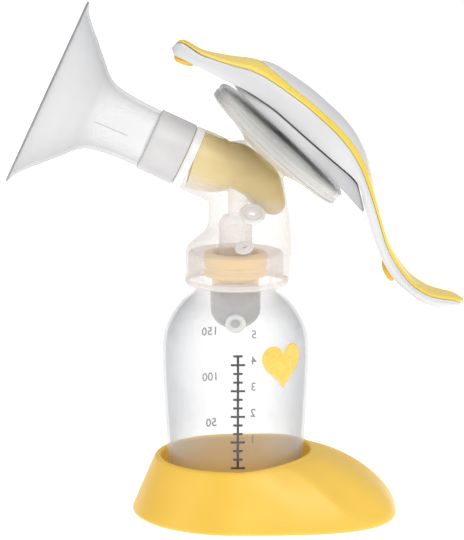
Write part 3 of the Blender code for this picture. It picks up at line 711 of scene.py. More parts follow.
def make_bottle():
    wall = [(bottle_radius(z), z) for z in spread(0.0090, 0.0935, 44)]
    outer = mm((0.0, 7.0), (8.0, 6.9), (20.0, 6.7), (22.4, 6.2), (23.5, 5.7), (24.6, 5.6), (25.8, 5.6))
    outer += mm((26.9, 6.0), (27.7, 6.9))
    neck = rounded_mm(
        (17.2, 94.4, 0.0), (17.2, 95.0, 0.0), (18.4, 95.3, 0.3), (18.4, 96.0, 0.3), (17.2, 96.4, 0.2),
        (17.2, 107.6, 0.0), (17.0, 108.3, 0.3), (15.7, 108.3, 0.3), (15.6, 107.0, 0.0), (15.6, 96.0, 0.0))
    inner = [(max(bottle_radius(z + 0.0004) - 0.0013, 0.0156), z) for z in spread(0.0930, 0.0100, 40)]
    floor = mm((26.0, 8.3), (24.6, 7.4), (23.6, 7.2), (21.4, 8.0), (19.4, 8.4), (8.0, 8.6), (0.0, 8.6))
    profile = outer + wall + neck + inner + floor
    place(lathe("bottle_wall", profile, *UPRIGHT, BOTTLE_CLEAR, 128, 60.0), "pump", "bottle")
    # screw thread on the neck
    rings = []
    for t in spread(0.0, 1.0, 151):
        angle = 2.0 * math.pi * THREAD_TURNS * t + 0.6
        z = THREAD_TOP_Z - THREAD_PITCH * THREAD_TURNS * t
        tall = min(1.0, 12.0 * t, 12.0 * (1.0 - t)) * THREAD_DEPTH + 0.00005
        out = Vector((math.cos(angle), math.sin(angle), 0.0))
        base = out * THREAD_ROOT_R
        ring = [base + UP * (z + 0.0011), base + out * tall + UP * (z + 0.0005)]
        ring += [base + out * tall + UP * (z - 0.0005), base + UP * (z - 0.0011)]
        rings.append(ring)
    place(loft("bottle_thread", rings, BOTTLE_CLEAR, 50.0), "pump")


# ---------------------------------------------------------------- prints
FILM = 0.00006
FIGURE_SIZE = 0.0050


def wrap_text(name, words, angle_deg, z, mat):
    """Flat figures bent round the bottle as a print; angle 90 is the far side."""
    curve = bpy.data.curves.new(name, "FONT")
    curve.body = words
    curve.size = FIGURE_SIZE
    curve.align_x = "CENTER"
    curve.align_y = "CENTER"
    curve.resolution_u = 3
    curve.offset = 0.00007
    flat = linked(name + "_flat", curve)
    mesh = baked_mesh(flat)
    bpy.data.objects.remove(flat, do_unlink=True)
    mesh.name = name
    work = bmesh.new()
    work.from_mesh(mesh)
    bmesh.ops.triangulate(work, faces=work.faces)
    bmesh.ops.subdivide_edges(work, edges=[e for e in work.edges if e.calc_length() > 0.0012], cuts=2)
    wrap(work, angle_deg, z)
    printed(name, mesh, work, mat)


def wrap(work, angle_deg, z):
    """Bend flat points (x across, y up) onto the outer wall of the bottle."""
    for v in work.verts:
        height = z + v.co.y
        radius = bottle_radius(height) + FILM
        angle = math.radians(angle_deg) + v.co.x / radius
        v.co = Vector((radius * math.cos(angle), radius * math.sin(angle), height))


def printed(name, mesh, work, mat):
    """Finish a wrapped print as a thin film that rides on the pump."""
    work.to_mesh(mesh)
    work.free()
    mesh.materials.clear()
    mesh.materials.append(mat)
    mesh.shade_smooth()
    obj = linked(name, mesh)
    film = obj.modifiers.new("film", "SOLIDIFY")
    film.thickness = FILM
    film.offset = 0.0
    place(obj, "pump")


def wrap_shape(name, outline, angle_deg, z, mat):
    """A filled flat outline (x, y) bent round the bottle."""
    mesh = bpy.data.meshes.new(name)
    work = bmesh.new()
    face = work.faces.new([work.verts.new((x, y, 0.0)) for x, y in outline])
    bmesh.ops.triangulate(work, faces=[face])
    for _ in range(3):
        long = [e for e in work.edges if e.calc_length() > 0.0014]
        if long:
            bmesh.ops.subdivide_edges(work, edges=long, cuts=1)
            bmesh.ops.triangulate(work, faces=work.faces)
    wrap(work, angle_deg, z)
    printed(name, mesh, work, mat)


ML_MARKS = ((150, 0.0691), (100, 0.0495), (50, 0.0299))
ML_ANGLE = 111.0
OUNCE_ANGLE = 75.0
OUNCE_STEP = 0.0112
OUNCE_TOP = 0.0674
RULER_LOW = 0.0246
RULER_STEP = 0.0036
RULER_TICKS = 14
RULER_ANGLE = -88.2
HEART_ANGLE = -50.0
HEART_Z = 0.0668
HEART_SCALE = 0.00064


def box_outline(across, up):
    """A flat rectangle of the given half sizes."""
    return [(-across, -up), (across, -up), (across, up), (-across, up)]


def make_prints():
    """Graduations on the far side, a plain ruler line and a heart on the near side."""
    for amount, z in ML_MARKS:
        wrap_text(f"scale_ml_{amount}", str(amount), ML_ANGLE, z, INK_GREY)
    for k in range(5):
        wrap_text(f"scale_oz_{5 - k}", str(5 - k), OUNCE_ANGLE, OUNCE_TOP - k * OUNCE_STEP, INK_GREY)
    half = 0.5 * (RULER_TICKS - 1) * RULER_STEP
    wrap_shape("ruler_stem", box_outline(0.0005, half), RULER_ANGLE, RULER_LOW + half, INK_DARK)
    for k in range(RULER_TICKS):
        tick = box_outline(0.0029 if k % 3 == 0 else 0.0019, 0.00045)
        wrap_shape(f"ruler_tick_{k}", tick, RULER_ANGLE, RULER_LOW + k * RULER_STEP, INK_DARK)
    heart = []
    for t in turn_angles(64):
        x = 16.0 * math.sin(t) ** 3
        y = 13.0 * math.cos(t) - 5.0 * math.cos(2 * t) - 2.0 * math.cos(3 * t) - math.cos(4 * t)
        heart.append((x * HEART_SCALE, y * HEART_SCALE))
    wrap_shape("heart_print", heart, HEART_ANGLE, HEART_Z, INK_YELLOW)


# ---------------------------------------------------------------- connector
# collar and neck: centre x, height z, half widths along X and Y, in mm
BODY_TABLE = (
    (0.5, 95.5, 20.6, 20.6), (0.5, 95.8, 21.2, 21.2), (0.5, 97.0, 21.4, 21.4), (0.8, 101.0, 21.5, 21.4),
    (1.0, 106.5, 21.6, 21.5), (1.2, 108.6, 21.8, 21.4), (1.5, 110.4, 21.5, 20.9), (2.1, 112.2, 20.8, 19.9),
    (3.5, 114.6, 19.3, 18.0), (5.0, 117.4, 17.6, 15.6), (5.5, 119.8, 17.0, 14.8), (5.5, 122.3, 16.7, 14.4),
    (5.2, 126.8, 16.3, 14.2), (4.9, 131.5, 15.9, 14.2), (4.6, 137.0, 15.2, 14.2), (4.6, 142.5, 14.3, 14.2),
    (4.6, 148.0, 12.6, 12.8), (4.6, 151.6, 10.4, 10.6), (4.6, 153.8, 7.6, 7.8))
# amber duct: x, z and radius
LINER_NODES = mm((-17.1, 147.0, 12.0), (-8.4, 144.7, 11.1), (-0.5, 144.2, 9.5), (4.4, 141.7, 8.8),
                 (9.4, 137.9, 8.4),
                 (11.9, 133.8, 7.6), (15.2, 128.8, 5.4), (17.0, 126.0, 3.6), (17.6, 124.9, 1.6))


def through(points, count):
    """A smooth curve of count points through a list of equal-length tuples."""
    reach = [0.0]
    for a, b in zip(points, points[1:]):
        reach.append(reach[-1] + math.dist(a, b))
    out = []
    for t in spread(0.0, reach[-1], count):
        out.append(tuple(smooth_at(list(zip(reach, values)), t) for values in zip(*points)))
    return out


LINER_PATH = [(x, z) for x, z, r in through(LINER_NODES, 40)]
LINER_RADII = [r for x, z, r in through(LINER_NODES, 40)]
LINER_WALL = 0.0014


# (radius, height) outlines in mm, each with the line it is turned about
BEFORE_ROOM = (
    ("DIFFERENCE", ON_DISH, ((0, -10.3), (29, -10.3), (29, 20), (0, 20))),
    ("UNION", ON_SHIELD, ((0, 48), (10.8, 48), (11.4, 48.8), (11.4, 61.7), (13.2, 66.2), (13.3, 84),
                          (0, 84))),
    ("UNION", ON_DISH, ((0, -22), (9, -22), (9.4, -16), (10.2, -11.4), (11.6, -10.5), (13.4, -9.9),
                        (13.4, -8.4), (9.4, -9.2), (0, -9.3))),
)
AFTER_ROOM = (
    ("DIFFERENCE", ON_SHIELD, ((0, 40), (9.4, 40), (9.4, 63), (0, 63))),
    ("DIFFERENCE", UPRIGHT, ((0, 90), (19.6, 90), (19.6, 108.8), (9.4, 108.8), (9.4, 100), (0, 100))),
    ("DIFFERENCE", UPRIGHT, ((0, 90), (6.8, 90), (6.8, 121), (5, 124), (0, 124))),
    ("DIFFERENCE", (Vector((0.001, 0, 0.1205)), UP, RIGHT), ((0, -3), (4.2, -3), (4.2, 15), (0, 15))),
    ("DIFFERENCE", ON_DISH, ((0, -16), (2.2, -16), (2.2, -4), (0, -4))),
)
# washers on the neck: centre, normal, scale
WASHERS = (
    ("duct_collar_upper", Vector((0.0068, -0.0108, 0.1262)), Vector((0.06, -0.62, 0.78)), 1.0),
    ("duct_collar_lower", Vector((0.0036, -0.0122, 0.1126)), Vector((-0.22, -0.50, 0.84)), 0.72),
)
VOXEL = 0.00055


def shape_body(body, steps):
    """Join or cut turned tools, one after another."""
    for operation, line, outline in steps:
        boolean(body, lathe("tool", mm(*outline), *line, CONNECTOR_CLEAR), operation)


def make_connector():
    """Collar, neck and nozzle fused into one moulding, then hollowed; the dish is turned."""
    rings = []
    for x, z, a, b in BODY_TABLE:
        rings.append([Vector(((x + a * math.cos(angle)) * MM, b * MM * math.sin(angle), z * MM))
                      for angle in turn_angles(ROUND)])
    body = loft("connector_moulding", rings, CONNECTOR_CLEAR)
    shape_body(body, BEFORE_ROOM)
    path = [Vector((x, 0.0, z)) for x, z in LINER_PATH]
    path[0] = path[0] + (path[0] - path[1]).normalized() * GAP
    path[-1] = path[-1] + (path[-1] - path[-2]).normalized() * GAP
    room = circle_path(path, [r + GAP for r in LINER_RADII])
    boolean(body, loft("room", room, CONNECTOR_CLEAR), "DIFFERENCE")
    shape_body(body, AFTER_ROOM)
    fuse(body, VOXEL, 4)
    place(body, "pump", "connector_body")
    dish = rounded_mm(
        (13.0, -9.8, 0.2), (19.6, -8.1, 3.0), (26.2, -6.7, 3.0), (31.8, -6.0, 0.6), (33.0, -5.6, 0.2),
        (33.0, -4.9, 0.2), (31.4, -4.9, 0.1), (31.4, -3.0, 0.2), (29.9, -3.0, 0.2), (28.9, -4.6, 0.4),
        (26.2, -5.3, 3.0), (14.0, -8.2, 0.3), (13.0, -8.5, 0.2), closed=True)
    place(lathe("connector_dish", dish, *ON_DISH, DISH_MILKY, FINE_ROUND), "pump")

    ring = rounded_mm((11.6, 61.9, 0.2), (12.9, 61.9, 0.4), (13.0, 65.4, 0.4), (11.6, 65.4, 0.2), closed=True)
    place(lathe("nozzle_ring", ring, *ON_SHIELD, RING_WHITE), "pump")
    for name, spot, normal, size in WASHERS:
        button = rounded([(r * size * MM, h * size * MM, f * MM) for r, h, f in (
            (1.3, -0.6, 0.2), (5.3, -0.6, 0.3), (5.4, 0.4, 0.4), (4.2, 0.8, 0.3), (3.7, 0.3, 0.2),
            (3.2, 0.3, 0.2), (2.8, 0.8, 0.3), (1.4, 0.8, 0.3))], closed=True)
        side = normal.cross(Y_AXIS).normalized()
        place(lathe(name, button, spot, normal.normalized(), side, RING_WHITE, 64), "pump")
    # painted highlight: a lip ring at the collar's lower edge, painted near-white for its bright lower corners
    place(torus("collar_lip", Vector((0.0005, 0.0, 0.0968)), UP, 0.0204, 0.0009, COLLAR_HIGHLIGHT_WHITE, 1.2), "pump")


def make_liner():
    """Amber duct, open toward the shield and rounded at its lower end."""
    path = [Vector((x, 0.0, z)) for x, z in LINER_PATH]
    outer = circle_path(path, LINER_RADII)
    inner = circle_path(path[:-6], [max(r - LINER_WALL, 0.0006) for r in LINER_RADII[:-6]])
    rings = list(reversed(inner)) + outer
    place(loft("amber_duct", rings, AMBER, 55.0), "pump", "connector_liner")


# ---------------------------------------------------------------- valve and membrane
FLAP_TOP = Vector((0.0, -0.0094, 0.0978))
FLAP_TILT = math.radians(20.0)
FLAP_HALF = 0.0102
FLAP_ARC_DOWN = 0.0115
KNOB_DOWN = 0.0190
FLAP_DOWN = Vector((0.0, math.sin(FLAP_TILT), -math.cos(FLAP_TILT)))
FLAP_OUT = Vector((0.0, -math.cos(FLAP_TILT), -math.sin(FLAP_TILT)))


def flap_point(x, down, out):
    """A point x across the flap's seat, down it from the hinge and out of it."""
    return FLAP_TOP + RIGHT * x + FLAP_DOWN * down + FLAP_OUT * out


def make_valve():
    """Yellow valve, cut off by the sloping seat of the flap."""
    profile = rounded_mm(
        (0.0, 77.6, 0.0), (3.5, 77.9, 0.8), (6.4, 79.3, 0.8), (8.4, 81.7, 0.8), (9.4, 84.6, 0.8),
        (9.6, 88.0, 0.8), (9.6, 98.4, 0.4), (12.8, 99.0, 0.4), (13.0, 100.6, 0.3), (12.3, 101.2, 0.3),
        (12.3, 103.0, 0.3), (13.0, 103.6, 0.3), (13.0, 107.6, 0.4), (12.5, 108.5, 0.3), (9.8, 108.5, 0.3),
        (9.7, 99.7, 0.2), (8.2, 99.2, 0.2), (8.2, 88.0, 0.8), (8.0, 85.2, 0.8), (7.1, 82.9, 0.8),
        (5.4, 80.7, 0.8), (3.0, 79.5, 0.6), (0.0, 79.2, 0.0))
    valve = lathe("valve_moulding", profile, *UPRIGHT, VALVE_YELLOW)
    corners = []
    for x in (-0.02, 0.02):
        for down in (-0.0001, 0.030):
            for out in (0.0, 0.020):
                corners.append(flap_point(x, down, out))
    cutter = finish_mesh("face_cut", corners, [(0, 1, 3, 2), (4, 6, 7, 5), (0, 4, 5, 1), (2, 3, 7, 6),
                                               (0, 2, 6, 4), (1, 5, 7, 3)], VALVE_YELLOW)
    boolean(valve, cutter, "DIFFERENCE")
    valve.data.set_sharp_from_angle(angle=math.radians(35.0))
    place(valve, "pump", "valve_head")


def make_membrane():
    """Silicone flap, thickened at its rim, with a pull knob near its foot."""
    outline = []
    for k in range(33):
        angle = math.pi * k / 32
        outline.append((FLAP_HALF * math.cos(angle), FLAP_ARC_DOWN + FLAP_HALF * math.sin(angle)))
    outline += [(-FLAP_HALF, 0.0070), (-FLAP_HALF, 0.0030), (-0.0098, 0.0016), (-0.0087, 0.0007),
                (0.0, 0.0005),
                (0.0087, 0.0007), (0.0098, 0.0016), (FLAP_HALF, 0.0030), (FLAP_HALF, 0.0070)]
    middle = 0.0105
    rings = []
    for shrink, out in ((0.965, GAP), (1.0, GAP + 0.0002), (1.0, GAP + 0.0010), (0.97, GAP + 0.0013),
                        (0.90, GAP + 0.0012), (0.88, GAP + 0.0008)):
        rings.append([flap_point(x * shrink, middle + (d - middle) * shrink, out) for x, d in outline])
    flap = loft("membrane_flap", rings, MEMBRANE_GREY, 60.0)
    place(flap, "flap", "valve_membrane")
    seat = (FLAP_TOP + FLAP_DOWN * KNOB_DOWN, FLAP_OUT, RIGHT)
    donut = rounded_mm((0.0, 0.9, 0.0), (4.2, 0.9, 0.2), (4.3, 2.1, 0.5), (3.6, 2.6, 0.5), (2.7, 2.6, 0.5),
                       (2.1, 1.7, 0.3), (0.0, 1.7, 0.0))
    place(lathe("membrane_knob", donut, *seat, KNOB_WHITE, 48), "flap")
    eye = mm((0.0, 1.6), (1.9, 1.6), (1.9, 1.85), (0.0, 1.85))
    place(lathe("membrane_knob_eye", eye, *seat, DIAPHRAGM_GREY, 48), "flap")


# ---------------------------------------------------------------- breast shield
def make_shield():
    """Funnel, its dark rim line (a lip ring painted dark grey as painted edge shade), the push-on sleeve and
    the mould seam.
    """
    outer = mm((0.9, 40.0), (1.3, 39.4), (1.7, 37.6), (3.6, 34.7), (7.0, 30.9), (10.0, 27.9), (13.0, 24.7),
               (17.0, 20.6), (20.7, 16.7), (24.5, 14.4), (30.0, 13.2), (38.0, 12.5), (45.6, 12.3))
    inner = mm((0.4, 37.4), (1.0, 36.3), (3.6, 33.2), (7.0, 29.4), (10.0, 26.4), (13.0, 23.2), (17.0, 19.1),
               (20.7, 15.3), (24.5, 13.0), (30.0, 11.8), (38.0, 11.1), (46.0, 10.9))
    profile = mm((37.9, 0.5), (39.0, 0.5), (39.3, 0.8))
    profile += [(smooth_at(outer, s), s) for s in spread(0.0009, 0.0456, 60)]
    profile += [(smooth_at(inner, s), s) for s in spread(0.0458, 0.0004, 60)]
    # painted shade: this lip ring is painted dark grey for the rim's dark edge-on line
    lip = rounded_mm((38.6, 0.0, 0.2), (40.0, 0.0, 0.3), (40.0, 0.8, 0.3), (39.4, 0.8, 0.2), closed=True)
    place(lathe("shield_lip", lip, *ON_SHIELD, LIP_EDGE_SHADE, FINE_ROUND), "shield")
    shield = lathe("shield_funnel", profile, *ON_SHIELD, SHIELD_FROSTED, FINE_ROUND, 50.0)
    place(shield, "shield", "breast_shield")
    sleeve = rounded_mm(
        (11.0, 45.9, 0.2), (12.3, 45.9, 0.2), (13.05, 46.3, 0.3), (13.05, 61.1, 0.3), (12.7, 61.5, 0.3),
        (11.8, 61.5, 0.2), (11.75, 46.9, 0.2), (11.0, 46.5, 0.2), closed=True)
    place(lathe("shield_sleeve", sleeve, *ON_SHIELD, SLEEVE_FROSTED, FINE_ROUND, 50.0), "shield")
    # the mould seam along the near side of the tunnel
    rings = []
    for s in spread(0.0215, 0.0375, 24):
        wide = 0.00018 * min(1.0, (s - 0.0212) / 0.002, (0.0378 - s) / 0.002)
        base = smooth_at(outer, s)
        ring = []
        for side, out in ((-wide, -0.0001), (-wide, 0.00010), (wide, 0.00010), (wide, -0.0001)):
            angle = math.radians(-94.0) + side / base
            spot = S_SIDE * math.cos(angle) + S_AXIS.cross(S_SIDE) * -math.sin(angle)
            ring.append(SHIELD_RIM + S_AXIS * s + spot * (base + out))
        rings.append(ring)
    place(loft("shield_seam", rings, SEAM_GREY, 60.0), "shield")


# ---------------------------------------------------------------- dish parts
def make_dish():
    """Diaphragm, cover, piston disc, stem with its seal, and the pivot pin."""
    diaphragm = mm((3.4, -7.1), (9.0, -7.1), (10.4, -6.7), (12.0, -5.9), (14.4, -5.9), (17.0, -6.2),
                   (19.6, -5.4),
                   (22.0, -4.4), (24.6, -3.4), (27.0, -2.9), (29.2, -2.7), (31.1, -2.7), (31.1, -1.7),
                   (28.6, -1.7), (26.4, -2.0), (24.0, -2.6), (21.6, -3.5), (19.2, -4.5), (17.0, -5.2),
                   (14.4, -5.0), (12.2, -4.9), (10.6, -5.7), (8.8, -6.2), (3.4, -6.2))
    skin = lathe("diaphragm_skin", diaphragm, *ON_DISH, DIAPHRAGM_GREY, ROUND, 70.0)
    place(skin, "pump", "diaphragm")
    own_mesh(skin)

    cap = rounded_mm(
        (31.8, -4.6, 0.2), (32.9, -4.6, 0.3), (33.2, -4.2, 0.2), (33.2, -3.3, 0.2), (32.9, -3.0, 0.2),
        (32.9, -2.2, 0.2), (33.2, -1.9, 0.2), (33.2, -0.5, 0.5), (32.3, 0.1, 0.5), (24.0, 0.6, 0.0),
        (14.0, 1.0, 0.0), (6.4, 1.25, 0.3), (5.5, 0.9, 0.2), (5.5, 0.2, 0.2), (14.0, -0.2, 0.0),
        (24.0, -0.6, 0.0), (30.3, -1.0, 0.2), (31.2, -1.4, 0.2), (31.8, -1.8, 0.2), closed=True)
    place(lathe("diaphragm_cover", cap, *ON_DISH, CAP_GREY_PAINTED_LIGHT, 128, 50.0), "cap", "diaphragm_cap")

    plate = rounded_mm(
        (0.0, -8.7, 0.0), (7.4, -8.7, 0.3), (8.0, -8.2, 0.3), (8.0, -7.5, 0.2), (0.0, -7.4, 0.0))
    place(lathe("piston_disc", plate, *ON_DISH, POM_WHITE, 64), "stem", "piston_plate")

    rod = rounded_mm(
        (0.0, -7.1, 0.0), (3.0, -7.1, 0.2), (3.0, -1.0, 0.2), (2.4, -0.8, 0.1), (2.4, 0.6, 0.1),
        (3.0, 0.8, 0.2), (3.0, 2.6, 0.2), (0.0, 2.6, 0.0))
    stem = lathe("stem_rod", rod, *ON_DISH, POM_WHITE, 48)
    eye = rounded_mm((1.7, -4.1, 0.2), (3.2, -4.1, 0.5), (3.2, 4.1, 0.5), (1.7, 4.1, 0.2), closed=True)
    boolean(stem, lathe("eye", eye, *ON_PIN, POM_WHITE, 48), "UNION")
    place(stem, "stem", "stem")
    seal = torus("stem_seal", DISH_C + Q_AXIS * -0.0001, Q_AXIS, 0.00335, 0.00075, O_RING)
    place(seal, "stem", "stem_o_ring")
    pin = rounded_mm(
        (0.0, -7.4, 0.0), (1.1, -7.4, 0.1), (1.4, -7.0, 0.2), (1.4, 7.0, 0.2), (1.1, 7.4, 0.1),
        (0.0, 7.4, 0.0))
    place(lathe("pivot_pin", pin, *ON_PIN, PIN_GREY, 32), "pin", "stem_pin")


# ---------------------------------------------------------------- handle
# against the station p along the handle: lower edge, upper edge, half width, height of the
# crowned top, and the inlay's share of the half width
LOW = mm((-54.9, -3.2), (-52.4, -4.1), (-46.1, -2.1), (-39.7, 0.0), (-33.1, 2.1), (-27.8, 3.8), (-23.4, 5.4),
         (-17.0, 6.8), (-8.0, 8.0), (0.6, 8.2), (8.8, 8.3), (23.1, 8.6), (31.5, 8.8), (35.0, 8.5),
         (40.7, 5.9), (48.4, 0.7), (56.1, -3.8), (67.2, -9.0), (77.2, -11.3), (87.0, -10.9),
         (94.3, -8.6), (99.9, -5.0), (103.0, -2.8))
SIDE = mm((-54.9, -0.2), (-53.2, 1.4), (-45.2, 3.0), (-39.5, 5.6), (-32.8, 9.3), (-26.0, 13.1), (-18.9, 15.2),
          (-8.4, 16.8), (1.7, 17.7), (12.8, 17.8), (21.8, 16.9), (31.5, 14.3), (41.8, 9.3), (52.5, 3.1),
          (63.9, -3.5), (72.0, -6.4), (81.5, -8.0), (88.7, -7.0), (94.8, -4.2), (99.1, -1.6), (103.0, -0.4))
WIDE = mm((-54.9, 2.4), (-54.2, 4.0), (-52.6, 5.4), (-48.0, 7.2), (-40.0, 9.8), (-30.0, 13.0),
          (-20.0, 15.4), (-8.0, 17.0), (5.0, 17.6), (18.0, 17.4), (30.0, 16.4), (43.0, 15.0),
          (58.0, 13.2), (72.0, 12.2), (84.0, 11.6), (94.0, 10.2), (99.0, 8.0), (102.0, 5.2),
          (103.0, 3.0))
CROWNING = mm((-54.9, 0.2), (-45.0, 0.3), (-36.0, 0.8), (-28.0, 2.0), (-18.0, 2.6), (-5.0, 2.6), (18.0, 2.6),
              (34.0, 1.8), (46.0, 0.6), (56.0, -0.2), (75.0, -0.3), (90.0, 0.1), (103.0, 0.1))
INLAY_SHARE = ((-0.0549, 0.50), (-0.0480, 0.60), (-0.0420, 0.78), (-0.0360, 0.95), (-0.0300, 1.0),
               (0.0600, 1.0), (0.0750, 0.92), (0.1030, 0.88))
INLAY_THICK = 0.0010
CROWN_SHARE = 0.84
CROWN_START = -0.0245
CROWN_END = 0.0428
FRONT_TIP = -0.0549
REAR_TIP = 0.1030
HANDLE_WALL = 0.0022


def handle_stations():
    """Stations along the handle, closer together at its rounded tips."""
    marks = [FRONT_TIP + 0.5 * (1 - math.cos(math.pi * k / 12)) * 0.006 for k in range(12)]
    marks += spread(FRONT_TIP + 0.006, REAR_TIP - 0.007, 92)
    marks += [REAR_TIP - 0.5 * (1 + math.cos(math.pi * k / 14)) * 0.007 for k in range(1, 15)]
    return marks


def rise(p, share):
    """Height of the crowned top over its edge, at a share of the half width."""
    return smooth_at(CROWNING, p) * (1.0 - share * share)


def make_shell():
    """White lever, hollow underneath."""
    rings = []
    for p in handle_stations():
        half = smooth_at(WIDE, p)
        low = smooth_at(LOW, p)
        side = smooth_at(SIDE, p)
        ceiling = low + max(0.0004, side - HANDLE_WALL - low)
        lip = min(0.0020, half * 0.3)
        tall = side - low
        belly = min(0.0006, half * 0.1)
        right = [(half - 0.0007, low), (half - 0.0002, low + 0.0002), (half, low + 0.0008)]
        right += [(half + belly * math.sin(math.pi * t), low + tall * t) for t in (0.3, 0.5, 0.7)]
        right += [(half, side - 0.0008), (half - 0.0002, side - 0.0002), (half - 0.0007, side)]
        ring = right
        ring += [(t * half, side + rise(p, t)) for t in (0.8, 0.6, 0.4, 0.2, 0.0, -0.2, -0.4, -0.6, -0.8)]
        ring += mirrored(right)
        ring += [(-half + lip, low), (-half + lip + 0.0003, low + 0.3 * (ceiling - low)),
                 (-half + lip + 0.0005, ceiling - 0.2 * (ceiling - low)), (-half + lip + 0.0015, ceiling)]
        ring += [(0.0, ceiling)]
        ring += [(half - lip - 0.0015, ceiling), (half - lip - 0.0005, ceiling - 0.2 * (ceiling - low)),
                 (half - lip - 0.0003, low + 0.3 * (ceiling - low)), (half - lip, low)]
        rings.append([grip_point(p, y, q) for y, q in ring])
    place(loft("handle_cover", rings, WHITE, 50.0), "handle", "handle_shell")


def make_inlay():
    """Yellow inlay that lies along the crowned top of the lever."""
    rings = []
    for p in handle_stations():
        share = smooth_at(INLAY_SHARE, p)
        half = smooth_at(WIDE, p) * share
        thick = INLAY_THICK * min(1.0, 0.4 + 0.6 * share)
        base = smooth_at(SIDE, p) + 0.00008
        top = base + thick + GAP
        foot = base + rise(p, share)
        right = [(half - 0.0001, foot), (half + 0.0001, foot + 0.3 * thick)]
        right += [(half - 0.0001, foot + 0.75 * thick), (half - 0.0006, foot + 1.1 * thick)]
        ring = list(right)
        ring += [(t * half, top + rise(p, t * share))
                 for t in (0.88, 0.7, 0.5, 0.25, 0.0, -0.25, -0.5, -0.7, -0.88)]
        ring += mirrored(right)
        ring += [(t * half, base + rise(p, t * share))
                 for t in (-0.8, -0.6, -0.4, -0.2, 0.0, 0.2, 0.4, 0.6, 0.8)]
        rings.append([grip_point(p, y, q) for y, q in ring])
    place(loft("handle_yellow_inlay", rings, HANDLE_YELLOW, 50.0), "handle", "handle_grip_inlay")


def make_crown():
    """White lens set into the inlay."""
    rings = []
    length = CROWN_END - CROWN_START
    for k in range(49):
        t0 = 0.5 * (1.0 - math.cos(math.pi * k / 48))
        p = CROWN_START + length * t0
        half = smooth_at(WIDE, p)
        plan = max(0.02, 1.0 - abs(2.0 * t0 - 1.0) ** 3.2) ** 0.5
        share = CROWN_SHARE * plan
        floor = smooth_at(SIDE, p) + GAP + INLAY_THICK + 0.0001
        ring = [(t * share * half, floor + rise(p, t * share)) for t in spread(-1.0, 1.0, 9)]
        for t in (1.0, 0.97, 0.9, 0.7, 0.4, 0.0, -0.4, -0.7, -0.9, -0.97, -1.0):
            lift = 0.0003 + 0.0011 * max(0.0, 1.0 - abs(t) ** 3.0) ** 0.6 * plan
            ring.append((t * share * half, floor + rise(p, t * share) + lift))
        rings.append([grip_point(p, y, q) for y, q in ring])
    place(loft("handle_top_crown", rings, CROWN_WHITE, 50.0), "handle", "handle_crown")


def make_pads():
    """Ribbed yellow pads under both ends of the lever."""
    for name, node, p0, p1, half, thick in (
            ("front_pad", "front_finger_pad", -0.0520, -0.0440, 0.0070, 0.0018),
            ("rear_pad", "rear_finger_pad", 0.0680, 0.0757, 0.0095, 0.0022)):
        rings = []
        for t in spread(0.0, 1.0, 25):
            p = p0 + (p1 - p0) * t
            slim = max(0.02, 1.0 - abs(2.0 * t - 1.0) ** 2.6) ** 0.5
            roof = smooth_at(LOW, p) - 0.00008
            w = half * (0.5 + 0.5 * slim)
            depth = thick * (0.30 + 0.70 * slim) * (1.0 + 0.06 * math.cos(t * math.pi * 10.0))
            ring = [(-w, roof), (-w * 0.4, roof), (w * 0.4, roof), (w, roof)]
            ring += [(w, roof - 0.4 * depth), (w * 0.93, roof - 0.85 * depth), (w * 0.8, roof - depth)]
            ring += [(0.0, roof - 1.08 * depth)]
            ring += [(-w * 0.8, roof - depth), (-w * 0.93, roof - 0.85 * depth), (-w, roof - 0.4 * depth)]
            rings.append([grip_point(p, y, q) for y, q in ring])
        place(loft(name, rings, PAD_YELLOW, 60.0), "handle", node)


# rocker: lower edge, half width and the belly of its underside, against p
KEEL_EDGE = mm((-26.6, 3.1), (-24.0, 2.9), (-16.4, 2.8), (-6.4, 3.1), (1.8, 3.1), (11.7, 2.8), (20.5, 2.5),
               (28.8, 2.2), (34.6, 2.0), (40.0, 1.4), (46.2, 0.6))
KEEL_WIDE = mm((-26.6, 3.0), (-25.8, 5.6), (-24.0, 8.8), (-20.0, 12.2), (-14.0, 14.6), (-6.0, 16.2),
               (4.0, 16.8), (16.0, 16.8), (26.0, 15.8), (36.0, 14.6), (42.0, 13.4), (45.4, 11.6), (46.2, 10.6))
KEEL_CURL = mm((-26.6, 0.1), (-22.0, 0.5), (-12.0, 1.1), (14.0, 1.1), (28.0, 0.6), (34.0, 0.3), (46.2, 0.2))


def make_keel():
    """White rocker under the lever, with a well round the stem."""
    rings = []
    low, high = KEEL_EDGE[0][0], KEEL_EDGE[-1][0]
    for k in range(81):
        p = low + (high - low) * 0.5 * (1.0 - math.cos(math.pi * k / 80))
        half = smooth_at(KEEL_WIDE, p)
        edge = smooth_at(KEEL_EDGE, p)
        curl = smooth_at(KEEL_CURL, p)
        roof = max(smooth_at(LOW, p) - 0.0006, edge + 0.0007)
        tall = roof - edge
        ring = [(t * half, edge + curl * (t * t - 1.0)) for t in spread(-0.96, 0.96, 13)]
        right = [(half - 0.0001, edge + 0.1 * tall), (half + 0.0001, edge + 0.35 * tall)]
        right += [(half + 0.0001, edge + 0.65 * tall), (half - 0.0001, edge + 0.9 * tall)]
        right += [(half - 0.0006, roof)]
        ring += right
        ring += mirrored(right)
        rings.append([grip_point(p, y, q) for y, q in ring])
    keel = loft("rocker_lens", rings, KEEL_WHITE_PAINTED_SHADE, 45.0)
    well = mm((0.0, -2.0), (9.6, -2.0), (9.6, 12.0), (0.0, 12.0))
    boolean(keel, lathe("well", well, *ON_DISH, KEEL_WHITE_PAINTED_SHADE, 64), "DIFFERENCE")
    keel.data.set_sharp_from_angle(angle=math.radians(40.0))
    place(keel, "rocker", "handle_keel")


